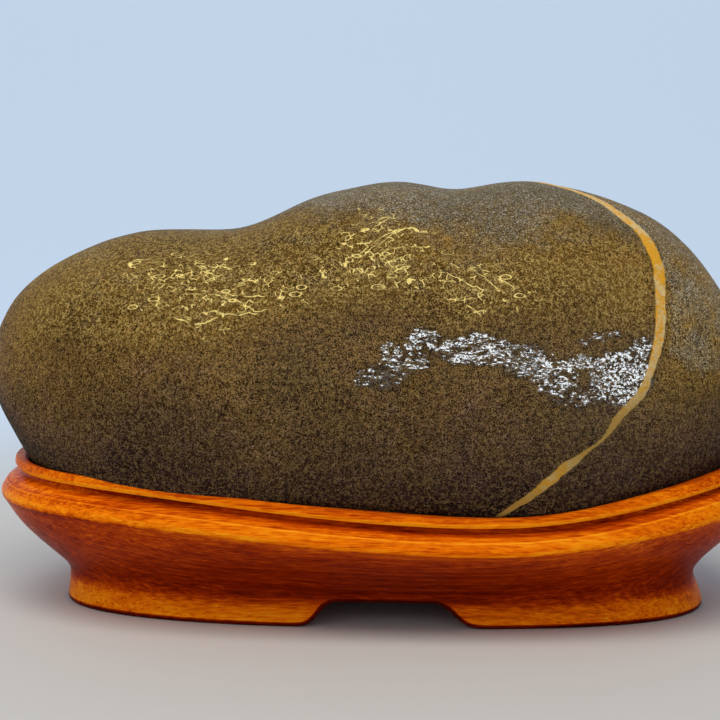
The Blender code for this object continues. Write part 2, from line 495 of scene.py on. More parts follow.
@dataclass(frozen=True)
class StoneForm:
    """The smooth form of the stone, in millimetres.

    At each x the cross-section is a rounded figure |y/side|^p + |z/up|^p = 1, with its
    own height above the widest line, depth below it, and reach to the front and back.
    """

    ends: Pair = (-124.5, 120.1)
    girth: Pair = (71.4, 65.2)
    top: Knots = (
        (-112.0, 101.7),
        (-96.0, 111.8),
        (-76.0, 118.0),
        (-56.0, 118.8),
        (-40.0, 120.5),
        (-23.0, 128.1),
        (-6.0, 132.8),
        (10.0, 134.3),
        (24.0, 132.2),
        (38.0, 134.1),
        (54.0, 134.0),
        (74.0, 128.8),
        (92.0, 119.9),
        (107.0, 104.1),
    )
    under: Knots = (
        (-112.0, 48.0),
        (-98.0, 30.0),
        (-68.0, 19.7),
        (2.0, 14.2),
        (62.0, 18.7),
        (102.0, 32.2),
    )
    front: Knots = (
        (-108.0, 32.5),
        (-84.0, 49.5),
        (-58.0, 58.0),
        (-30.0, 59.5),
        (2.0, 57.5),
        (40.0, 60.2),
        (58.0, 58.5),
        (76.0, 51.5),
        (100.0, 36.5),
    )
    back: Knots = (
        (-108.0, 33.0),
        (-78.0, 50.5),
        (-36.0, 57.5),
        (6.0, 59.5),
        (44.0, 58.5),
        (84.0, 48.5),
        (104.0, 35.0),
    )
    power_top: float = 2.1
    power_under: float = 2.4

    @property
    def middle(self) -> float:
        """Halfway between the two ends."""
        return sum(self.ends) / 2.0

    @property
    def reach(self) -> float:
        """Half the length."""
        return (self.ends[1] - self.ends[0]) / 2.0

    def girth_height(self, x: Array) -> Array:
        """Height of the widest line: a straight run from one end to the other."""
        share = (x - self.ends[0]) / (self.ends[1] - self.ends[0])
        return self.girth[0] + (self.girth[1] - self.girth[0]) * share

    def half_size(self, line: Knots, sign: int, from_girth: bool, at: Array) -> Array:
        """Half-size of the section at an end angle, from one outline.

        The end angle is 0 at the left end and pi at the right end. The half-size is a
        smooth curve of the end angle, times its sine, so that both ends close round.

        Args:
            line: (x, value) points of the outline.
            sign: -1 where the outline lies below the widest line.
            from_girth: whether the values are heights, taken from the widest line.
            at: end angles.

        Returns:
            The half-sizes.
        """
        x, value = np.array(line).T
        angle = np.arccos((self.middle - x) / self.reach)
        level = self.girth_height(x) if from_girth else 0.0
        curve = natural_spline(angle, sign * (value - level) / np.sin(angle))
        return curve(at) * np.sin(at)

    def depth(self, to_front: Array, end_angle: Array) -> Array:
        """Half-size toward the front where `to_front` holds, and toward the back elsewhere."""
        front = self.half_size(self.front, 1, False, end_angle)
        return np.where(to_front, front, self.half_size(self.back, 1, False, end_angle))

    def surface(self, end_angle: Array, turn: Array) -> Array:
        """Points of the stone at an end angle and a turn round the section.

        The turn is 0 at the front, pi/2 on the crest, and less than nothing underneath.

        Args:
            end_angle: 0 at the left end to pi at the right end.
            turn: angle round the section.

        Returns:
            Points, with x, y, z last.
        """
        x = self.middle - self.reach * np.cos(end_angle)
        cosine, sine = np.cos(turn), np.sin(turn)
        side = self.depth(cosine > 0, end_angle)
        rise = np.where(
            sine > 0,
            self.half_size(self.top, 1, True, end_angle),
            self.half_size(self.under, -1, True, end_angle),
        )
        power = 2.0 / np.where(sine > 0, self.power_top, self.power_under)
        y = -side * np.sign(cosine) * np.abs(cosine) ** power
        z = rise * np.sign(sine) * np.abs(sine) ** power
        return np.stack([x, y, z + self.girth_height(x)], axis=-1)

    def underside(self, x: Array, y: Array, gap: float) -> Array:
        """Height of the stone's lower half over a place on the table.

        Args:
            x: place along the stone.
            y: place across it.
            gap: how far outside the stone the surface lies.

        Returns:
            Heights; beyond the stone's reach, the height of the widest line.
        """
        ratio = np.clip((self.middle - x) / (self.reach + gap), -1.0, 1.0)
        angle = np.arccos(ratio)
        grown = gap * np.sin(angle)
        side = self.depth(y < 0, angle) + grown
        down = self.half_size(self.under, -1, True, angle) + grown
        share = np.clip(np.abs(y) / np.maximum(side, MM), 0.0, 1.0)
        power = self.power_under
        return self.girth_height(x) - down * (1.0 - share**power) ** (1.0 / power)


@dataclass(frozen=True)
class CrystalFinish:
    """Salt and pepper of dark and pale crystals, as linear colours."""

    salt: Noise = Noise(3500.0, 1.0, 0.75)
    lump: Noise = Noise(620.0, 1.0, 0.6)
    salt_share: float = 0.82
    # by the two noises together
    grains: Stops = (
        (0.425, (0.012, 0.006, 0.003)),
        (0.475, (0.0346, 0.0197, 0.0058)),
        (0.530, (0.0878, 0.0500, 0.0146)),
        (0.585, (0.460, 0.345, 0.180)),
    )
    # what the `calm` mark blends toward; on the crest it is part of the painted sky sheen
    calm: Colour = (0.1044, 0.0595, 0.0174)
    speck: Colour = (0.480, 0.420, 0.300)
    specks: Noise = Noise(1900.0, 1.0)
    speck_share: Span = Span(0.58, 0.68, 0.0, 0.85)
    cloud: Noise = Noise(38.0, 3.0, 0.6)
    cloud_tone: Span = Span(0.35, 0.68, 0.82, 1.16)
    # slow and quick changes of the tint, and how far they swing the `hue` mark
    drifts: tuple[tuple[Noise, float], ...] = (
        (Noise(62.0, 2.0, 0.6), 0.32),
        (Noise(230.0, 2.0, 0.6), 0.45),
    )
    # by the `hue` mark: low down, on the flank, in the ochre band, on the crest, where it is a painted sky
    # reflection
    tints: Stops = (
        (0.0, (1.11, 0.76, 1.05)),
        (0.45, (1.07, 0.79, 0.40)),
        (0.72, (1.13, 0.86, 0.30)),
        (1.0, (1.03, 1.20, 1.58)),
    )

    def grain(self, s: Sheet) -> tuple[Socket, Socket]:
        """The crystals' pattern: fine noise, gathered a little by a coarser one.

        Args:
            s: the sheet that the nodes go on.

        Returns:
            The fine noise alone, and the two together.
        """
        salt = s.noise(s.even, self.salt)
        fine = s.math("MULTIPLY", salt, self.salt_share)
        coarse = s.math("MULTIPLY", s.noise(s.even, self.lump), 1.0 - self.salt_share)
        return salt, s.math("ADD", fine, coarse)

    def lay(self, s: Sheet, grain: Socket) -> Socket:
        """Colour the crystals, tint them, then shade them by the painted light and shade of the `shade`
        mark, in clouds.

        Args:
            s: the sheet that the nodes go on.
            grain: the crystals' pattern.

        Returns:
            The colour.
        """
        colour = s.blend(s.mark("calm"), s.ramp(grain, self.grains), self.calm)
        specks = s.span(s.noise(s.even, self.specks), self.speck_share)
        colour = s.blend(specks, colour, self.speck)
        drifts = [s.swing(s.noise(s.even, drift), reach) for drift, reach in self.drifts]
        tint = s.ramp(s.math("ADD", s.mark("hue"), *drifts), self.tints)
        colour = s.blend(1.0, colour, tint, "MULTIPLY")
        clouds = s.span(s.noise(s.even, self.cloud), self.cloud_tone)
        return s.shaded(1.0, colour, s.math("MULTIPLY", s.mark("shade"), clouds))


@dataclass(frozen=True)
class StainFinish:
    """Ochre stain in patches where the `band` mark says, thinner on the dark crystals; it is partly painted
    light, lightening the stone's upper front.
    """

    ochre: Colour = (0.200, 0.110, 0.020)
    patches: Noise = Noise(75.0, 4.0, 0.6)
    patch_share: Span = Span(0.30, 0.66)
    crystal_share: Span = Span(0.36, 0.56, 0.05, 0.75)
    # how bright the stain is, by the `shade` mark, so it carries that mark's painted light and shade
    tone: Span = Span(0.0, 1.4, 0.30, 1.70)

    def lay(self, s: Sheet, drawn: Socket, grain: Socket, colour: Socket) -> Socket:
        """Lay the stain over a colour.

        Args:
            s: the sheet that the nodes go on.
            drawn: coordinates drawn out along the stone.
            grain: the crystals' pattern.
            colour: what it is laid over.

        Returns:
            The colour.
        """
        patches = s.span(s.noise(drawn, self.patches), self.patch_share)
        crystals = s.span(grain, self.crystal_share)
        stain = s.math("MULTIPLY", s.mark("band"), patches, crystals)
        tone = s.span(s.mark("shade"), self.tone)
        return s.blend(stain, colour, s.shaded(1.0, self.ochre, tone))


@dataclass(frozen=True)
class ThreadFinish:
    """Small curls, and golden threads that run along the stone with rings among them: partly mineral
    threads, partly a painted reflection of a warm lamp in the rippled wax.
    """

    curl: Colour = (0.620, 0.430, 0.140)
    curls: Web = Web(1900.0, 0.0004, 1150.0, 0.00014)
    curl_breaks: Noise = Noise(900.0, 1.0)
    curl_gate: Span = Span(0.46, 0.54)
    # how strong the curls are, by the `band` mark
    curl_share: Span = Span(0.0, 1.0, 0.22, 0.68)
    # the golden lines' colour, partly a painted reflection of a warm lamp
    gold: Colour = (1.000, 0.800, 0.270)
    # lines in a metre of height, and waves in a metre of their length
    strands: Knots = ((175.0, 52.0), (140.0, 71.0))
    strand_width: float = 0.00027
    strand_sway: float = 1.4
    tremble: Noise = Noise(280.0, 2.0, 0.65)
    tremble_sway: float = 0.42
    strand_breaks: Noise = Noise(150.0, 1.0)
    strand_gate: Span = Span(0.48, 0.51)
    worms: Web = Web(800.0, 0.0007, 430.0, 0.00020)
    worm_breaks: Noise = Noise(380.0, 1.0)
    worm_gate: Span = Span(0.51, 0.55)
    rings: Web = Web(500.0, 0.0006, 290.0, 0.00018, 0.26)
    cluster: Noise = Noise(60.0, 1.0)
    cluster_sway: float = 0.40
    # how much the gates close where the `thread` mark falls from 1 to 0
    margin: float = 0.20
    mark_share: Span = Span(0.05, 0.25)
    wear: Noise = Noise(420.0, 1.0)
    wear_share: Span = Span(0.34, 0.50, 0.35, 1.0)

    def lay(self, s: Sheet, drawn: Socket, colour: Socket) -> Socket:
        """Lay the curls, then the threads, over a colour.

        Args:
            s: the sheet that the nodes go on.
            drawn: coordinates drawn out along the stone.
            colour: what they are laid over.

        Returns:
            The colour.
        """
        thin = s.span(s.noise(s.even, self.curl_breaks), self.curl_gate)
        strength = s.span(s.mark("band"), self.curl_share)
        curl = s.math("MULTIPLY", s.web(s.even, self.curls), thin, strength)
        colour = s.blend(curl, colour, self.curl)

        thread = s.mark("thread")
        clusters = s.swing(s.noise(drawn, self.cluster), self.cluster_sway)
        edge = s.math("MULTIPLY", s.math("SUBTRACT", thread, 1.0), self.margin)
        opening = s.math("ADD", clusters, edge)
        strands = [self.strand(s, *strand) for strand in self.strands]
        gate = s.math("ADD", s.noise(drawn, self.strand_breaks), opening)
        strand = s.math("MULTIPLY", s.math("MAXIMUM", *strands), s.span(gate, self.strand_gate))
        gate = s.math("ADD", s.noise(s.even, self.worm_breaks), opening)
        worm = s.math("MULTIPLY", s.web(s.even, self.worms), s.span(gate, self.worm_gate))
        gold = s.math("MAXIMUM", strand, worm, s.web(drawn, self.rings))
        worn = s.span(s.noise(s.even, self.wear), self.wear_share)
        gold = s.math("MULTIPLY", gold, s.span(thread, self.mark_share), worn)
        return s.blend(gold, colour, self.gold)

    def strand(self, s: Sheet, count: float, bends: float) -> Socket:
        """Thin wavy lines level with the `course` mark.

        Args:
            s: the sheet that the nodes go on.
            count: lines in a metre of height.
            bends: waves in a metre of their length.

        Returns:
            1 on the lines and 0 between them.
        """
        phase = s.math("MULTIPLY", s.mark("course"), count * MM)
        waves = s.swing(s.noise(s.even, Noise(bends, 1.0)), self.strand_sway)
        tremble = s.swing(s.noise(s.even, self.tremble), self.tremble_sway)
        phase = s.math("FRACT", s.math("ADD", phase, waves, tremble))
        away = s.math("ABSOLUTE", s.math("SUBTRACT", phase, 0.5))
        return s.line(away, self.strand_width * count)


@dataclass(frozen=True)
class VeinFinish:
    """The vein: cream and amber mottled together, olive low down and on dark crystals."""

    amber: Colour = (1.000, 0.465, 0.018)
    cream: Colour = (0.900, 0.660, 0.310)
    olive: Colour = (0.480, 0.290, 0.060)
    # the edge: how rough it is, in millimetres, and how it fades either side of the width
    rough: Noise = Noise(300.0, 3.0, 0.7)
    rough_sway: float = 1.6
    edge: Span = Span(-0.30, 0.20, 1.0, 0.0)
    mottle: Noise = Noise(330.0, 3.0, 0.75)
    mottle_share: Span = Span(0.30, 0.70)
    # how far the crystals, and the side toward the right, change the share of amber
    salt_sway: float = 0.35
    side_lean: float = -0.10
    amber_share: Span = Span(0.28, 0.88)
    salt_olive: Span = Span(0.36, 0.56, 0.75, 0.0)
    cover: float = 0.95

    def lay(self, s: Sheet, salt: Socket, colour: Socket) -> tuple[Socket, Socket]:
        """Lay the vein over a colour, where `vein` is less than `vein_width` either way.

        Args:
            s: the sheet that the nodes go on.
            salt: the crystals' fine pattern.
            colour: what it is laid over.

        Returns:
            The colour, and 1 inside the vein and 0 outside.
        """
        distance, width = s.mark("vein"), s.mark("vein_width")
        rough = s.swing(s.noise(s.even, self.rough), self.rough_sway)
        away = s.math("ABSOLUTE", s.math("ADD", distance, rough))
        inside = s.span(s.math("SUBTRACT", away, width), self.edge)
        lean = s.math("MULTIPLY", s.math("DIVIDE", distance, width), self.side_lean)
        mottle = s.span(s.noise(s.even, self.mottle), self.mottle_share)
        amber = s.math("ADD", mottle, s.mark("vein_amber"), s.swing(salt, self.salt_sway), lean)
        vein = s.blend(s.span(amber, self.amber_share), self.cream, self.amber)
        vein = s.blend(s.mark("vein_low"), vein, self.olive)
        vein = s.blend(s.span(salt, self.salt_olive), vein, self.olive)
        return s.blend(s.math("MULTIPLY", inside, self.cover), colour, vein), inside


@dataclass(frozen=True)
class WaxFinish:
    """Thick wax on the patches of the `gloss` mark, broken into small islands."""

    flattened: Place = (0.75, 1.0, 1.2)
    large: Noise = Noise(460.0, 3.0, 0.65)
    small: Noise = Noise(1050.0, 1.0, 0.6)
    # the share of small islands, by the mark
    small_share: Span = Span(1.05, 1.25, 0.35, 1.0)
    margin: float = 0.35
    wet: Span = Span(0.43, 0.53)
    breaks: Noise = Noise(1500.0, 1.0)
    break_share: Span = Span(0.38, 0.58, 0.30, 1.0)
    on_vein: Span = Span(0.0, 1.0, 1.0, 0.15)
    # how much darker the stone is under it
    dim: Span = Span(0.3, 1.0, 1.0, 0.62)
    off_vein: Span = Span(0.0, 1.0, 1.0, 0.0)
    ripples: Noise = Noise(420.0, 2.0, 0.6)
    ripple_depth: float = 0.00045
    weight: Span = Span(0.0, 1.0, 0.01, 1.0)
    polish: Span = Span(0.0, 1.0, 0.34, 0.06)
    coat_ior: float = 1.7

    def wetness(self, s: Sheet, patch: Socket, inside: Socket) -> Socket:
        """Where wax lies.

        Args:
            s: the sheet that the nodes go on.
            patch: the `gloss` mark.
            inside: 1 inside the vein.

        Returns:
            1 on the islands of wax and 0 between them.
        """
        place = s.place(self.flattened)
        large, small = s.noise(place, self.large), s.noise(place, self.small)
        islands = s.blend(s.span(patch, self.small_share), large, small)
        edge = s.math("MINIMUM", patch, 1.0)
        edge = s.math("MULTIPLY", s.math("SUBTRACT", edge, 1.0), self.margin)
        wet = s.span(s.math("ADD", islands, edge), self.wet)
        breaks = s.span(s.noise(s.even, self.breaks), self.break_share)
        return s.math("MULTIPLY", wet, breaks, s.span(inside, self.on_vein))

    def lay(self, s: Sheet, drawn: Socket, inside: Socket, colour: Socket) -> dict[str, Value]:
        """Lay the wax over a colour.

        Args:
            s: the sheet that the nodes go on.
            drawn: coordinates drawn out along the stone.
            inside: 1 inside the vein.
            colour: what it is laid over.

        Returns:
            Values for the colour's socket and the coat's.
        """
        patch = s.mark("gloss")
        wet = self.wetness(s, patch, inside)
        return {
            "Base Color": s.shaded(s.span(inside, self.off_vein), colour, s.span(patch, self.dim)),
            "Coat Weight": s.span(wet, self.weight),
            "Coat Roughness": s.span(wet, self.polish),
            "Coat Normal": s.bump(s.noise(drawn, self.ripples), self.ripple_depth),
            "Coat IOR": self.coat_ior,
        }


@dataclass(frozen=True)
class StoneFinish:
    """The waxed stone: its finishes, laid one over another."""

    # stretch of the coordinates of what runs along the stone
    drawn_out: Place = (0.50, 1.0, 1.15)
    crystals: CrystalFinish = CrystalFinish()
    stain: StainFinish = StainFinish()
    threads: ThreadFinish = ThreadFinish()
    vein: VeinFinish = VeinFinish()
    wax: WaxFinish = WaxFinish()
    roughness: Span = Span(0.2, 0.8, 0.62, 0.46)
    grain_depth: float = 0.00010
    ior: float = 1.5
    gloss: float = 0.03

    def material(self) -> bpy.types.Material:
        """Lay crystals, stain, threads, vein and wax in order.

        Returns:
            The material.
        """
        s = Sheet("waxed_stone")
        drawn = s.place(self.drawn_out)
        salt, grain = self.crystals.grain(s)
        colour = self.crystals.lay(s, grain)
        colour = self.stain.lay(s, drawn, grain, colour)
        colour = self.threads.lay(s, drawn, colour)
        colour, inside = self.vein.lay(s, salt, colour)
        inputs = self.wax.lay(s, drawn, inside, colour)
        inputs["Roughness"] = s.span(grain, self.roughness)
        inputs["Normal"] = s.bump(grain, self.grain_depth)
        return s.finish(inputs | {"IOR": self.ior, "Specular IOR Level": self.gloss})


@dataclass(frozen=True)
class Spot:
    """A soft oval place on the stone: a bell in x times a bell in the turn, in degrees.

    With a lean, its middle falls by that many degrees for each millimetre along x.
    """

    x: float
    half_length: float
    turn: float
    half_turn: float
    lean: float = 0.0

    def at(self, x: Array, turn: Array) -> Array:
        """How much of it lies at each point, 0 to 1."""
        turn = turn + self.lean * (x - self.x)
        return bell(x, self.x, self.half_length) * bell(turn, self.turn, self.half_turn)


@dataclass(frozen=True)
class WaxPatch:
    """A soft-edged oval of thick wax on the stone's front, in x and height."""

    x: float
    z: float
    half_length: float
    half_height: float
    strength: float
    # where it fades out and where it is full, as shares of the oval
    edge: Pair = (1.3, 0.7)

    def at(self, x: Array, z: Array) -> Array:
        """Its strength at each point."""
        away = np.hypot((x - self.x) / self.half_length, (z - self.z) / self.half_height)
        return self.strength * smoothstep(*self.edge, away)


@dataclass(frozen=True)
class StoneZones:
    """Where the stone's colours and its wax lie.

    A pair of numbers is where a smooth step starts and ends: in degrees of turn, in
    millimetres of x, or in millimetres from the vein. `level` is how far the turn has
    climbed from the widest line, at the front or the back, and sways a little.
    """

    # the edges of the zones, and how they wander: (cell size, seed, reach)
    x_wander: tuple[float, int, float] = (22.0, 31, 5.0)
    turn_wanders: tuple[tuple[float, int, float], ...] = ((14.0, 32, 5.0), (31.0, 33, 5.0))
    # level of the crest colour's edge (a painted sky sheen: lighter, bluer, calmer), how much
    # higher that is to the left and how much lower over the right hump (its x and spread), and
    # where the colour comes in
    crest: float = 55.0
    crest_rise: float = 27.0
    crest_left: Pair = (10.0, -50.0)
    crest_drop: float = 8.0
    crest_hump: Pair = (36.0, 20.0)
    crest_edge: Pair = (-16.0, 14.0)
    band_bottom: Pair = (14.0, 34.0)
    band_top: Pair = (10.0, -14.0)
    band_left: Pair = (-118.0, -96.0)
    band_vein: Pair = (1.0, -7.0)
    low: Pair = (12.0, -34.0)
    lowest: Pair = (-22.0, -44.0)
    left: Pair = (-76.0, -96.0)
    beyond_vein: Pair = (-1.0, 5.0)
    beyond_bottom: Pair = (-6.0, 24.0)
    beyond_top: Pair = (100.0, 70.0)
    rusty: Spot = Spot(-71.0, 6.0, 60.0, 10.0)
    dark: Spot = Spot(-88.0, 9.0, 29.0, 12.0)
    bright: Spot = Spot(80.0, 20.0, 46.0, 16.0)
    # where the golden threads lie, partly a painted reflection of a warm lamp
    threads: tuple[Spot, ...] = (
        Spot(-49.0, 27.0, 42.0, 13.0, 0.24),
        Spot(1.0, 16.0, 47.0, 15.0),
        Spot(32.0, 20.0, 36.0, 9.0, 0.2),
    )
    thread_edge: Pair = (0.08, 0.75)
    # (x, height) that the golden threads run level with
    course: Knots = (
        (-90.0, 0.0),
        (-60.0, 0.0),
        (-20.0, -3.0),
        (-5.0, 2.0),
        (12.0, 11.0),
        (26.0, 8.0),
        (50.0, -4.0),
        (75.0, -7.0),
    )
    # brightness of the bare flank, and what each zone adds to it; painted light and shade:
    flank_shade: float = 0.66
    shades: tuple[tuple[str, float], ...] = (
        # painted shade low down and by the stand, painted light on the crest and, partly, beyond the vein
        ("dark", -0.26),
        ("low", -0.52),
        ("lowest", -0.08),
        ("band", 0.02),
        ("bright", 0.40),
        ("left", 0.16),
        ("top", 0.36),
        ("beyond", 0.58),
    )
    # places of the flank, the band, the ground beyond the vein and the crest among the
    # crystals' tints; the low part is at 0, and the crest's bluish tint is a painted sky reflection
    flank_hue: float = 0.45
    band_hue: float = 0.72
    beyond_hue: float = 0.87
    crest_hue: float = 1.0
    # less contrast on the crest, part of its painted sky sheen, and low down
    crest_calm: float = 0.50
    low_calm: float = 0.28
    # (level, spread, amount) of the vein's amber stretches, and its amber elsewhere
    vein_ambers: tuple[tuple[float, float, float], ...] = ((54.0, 7.0, 0.665), (27.0, 4.0, 0.21))
    vein_base: float = -0.03
    vein_foot: Pair = (8.0, -16.0)
    vein_foot_amber: float = 0.21
    # where the vein turns olive, and (level, spread, amount) of a stretch that is less so
    vein_olive: Pair = (16.0, -4.0)
    vein_clear: tuple[float, float, float] = (-15.0, 6.0, 0.6)
    wax_wanders: tuple[tuple[float, int, float], ...] = ((6.0, 41, 2.0), (5.0, 42, 1.2))
    wax: tuple[WaxPatch, ...] = (
        WaxPatch(31.0, 88.0, 13.0, 5.0, 1.04),
        WaxPatch(45.0, 85.0, 9.0, 5.2, 1.04),
        WaxPatch(54.0, 80.5, 8.0, 6.0, 0.94),
        WaxPatch(62.0, 83.8, 8.0, 2.4, 1.0),
        WaxPatch(73.0, 79.5, 10.0, 8.0, 1.3),
        WaxPatch(79.0, 86.0, 4.0, 5.0, 1.0),
        WaxPatch(68.0, 91.0, 9.0, 2.2, 0.88),
        WaxPatch(60.0, 74.0, 10.0, 4.0, 0.86),
        WaxPatch(4.0, 79.5, 8.0, 5.0, 1.10),
        WaxPatch(10.5, 85.0, 8.0, 5.5, 1.06),
        WaxPatch(16.0, 90.5, 6.5, 4.0, 0.95),
    )

    def marks(self, body: Array, turn: Array, distance: Array) -> dict[str, Array]:
        """The marks that the finishes read.

        Args:
            body: the surface.
            turn: each point's turn.
            distance: signed distance from the vein's middle.

        Returns:
            `band` (ochre stain, partly painted light on the upper front), `thread` (golden
            lines, partly a painted reflection of a warm lamp) and `course` (height above their
            run), `shade` (brightness: painted light and shade, darker low down and by the
            stand, lighter on the crest and partly beyond the vein), `hue` (tint, with a painted
            sky reflection on the crest), `calm` (less contrast, part of the crest's painted
            sheen), `gloss` (wax), `vein_amber` and `vein_low` (olive).
        """
        level = np.degrees(np.arcsin(np.sin(turn)))
        zones = self.zones(body, turn, level, distance)
        band, low, top = zones["band"], zones["low"], zones["top"]
        hue = self.flank_hue * (1.0 - low) + (self.band_hue - self.flank_hue) * band
        hue = hue + (self.crest_hue - hue) * top
        hue = hue + (self.beyond_hue - hue) * np.clip(zones["beyond"] - low, 0.0, 1.0)
        amber = self.vein_base + self.vein_foot_amber * smoothstep(*self.vein_foot, level)
        for middle, spread, amount in self.vein_ambers:
            amber = amber + amount * bell(level, middle, spread)
        middle, spread, amount = self.vein_clear
        clear = amount * bell(level, middle, spread)
        return {
            "band": np.clip(band + zones["rusty"], 0.0, 1.0),
            "thread": smoothstep(*self.thread_edge, zones["thread"]),
            "course": body[..., 2] - curve_through(self.course)(body[..., 0]),
            "shade": self.flank_shade + sum(amount * zones[zone] for zone, amount in self.shades),
            "hue": hue,
            "calm": self.crest_calm * top + self.low_calm * low,
            "gloss": self.wax_at(body),
            "vein_amber": amber,
            "vein_low": smoothstep(*self.vein_olive, level) * (1.0 - clear),
        }

    def zones(self, body: Array, turn: Array, level: Array, distance: Array) -> dict[str, Array]:
        """How much of each zone lies at each point: products of smooth steps and bells.

        Args:
            body: the surface.
            turn: each point's turn.
            level: how far it has climbed from the widest line, in degrees.
            distance: signed distance from the vein's middle.

        Returns:
            Shares, 0 to 1, by the zone's name.
        """
        size, seed, reach = self.x_wander
        x = body[..., 0] + reach * lattice_noise(body, size, seed)
        sway = sum(reach * lattice_noise(body, size, seed) for size, seed, reach in self.turn_wanders)
        round_turn, up = np.degrees(turn) + sway, level + sway
        crest = self.crest + self.crest_rise * smoothstep(*self.crest_left, x)
        crest = crest - self.crest_drop * bell(x, *self.crest_hump)
        low = smoothstep(*self.low, up)
        band = smoothstep(*self.band_bottom, up) * smoothstep(*self.band_top, up - crest)
        band = band * smoothstep(*self.band_left, x) * smoothstep(*self.band_vein, distance)
        beyond = smoothstep(*self.beyond_vein, distance)
        beyond = beyond * smoothstep(*self.beyond_bottom, round_turn)
        beyond = beyond * smoothstep(*self.beyond_top, round_turn)
        # low and lowest hold painted shade, top the crest's painted sky sheen, beyond partly painted light
        return {
            "low": low,
            "lowest": smoothstep(*self.lowest, up),
            "band": band,
            "top": smoothstep(*self.crest_edge, up - crest),
            "left": smoothstep(*self.left, x) * (1.0 - low),
            "beyond": beyond,
            "rusty": self.rusty.at(x, round_turn),
            "dark": self.dark.at(x, round_turn),
            "bright": self.bright.at(x, round_turn) * band,
            "thread": np.max([spot.at(x, round_turn) for spot in self.threads], axis=0),
        }

    def wax_at(self, body: Array) -> Array:
        """Where thick wax lies: the union of the patches, with wandering edges.

        Args:
            body: the surface.

        Returns:
            The strength of the wax, 0 on the back.
        """
        place = []
        for axis, (size, seed, reach) in zip((0, 2), self.wax_wanders):
            place.append(body[..., axis] + reach * lattice_noise(body, size, seed))
        strength = np.max([patch.at(*place) for patch in self.wax], axis=0)
        return strength * (body[..., 1] < 0.0)


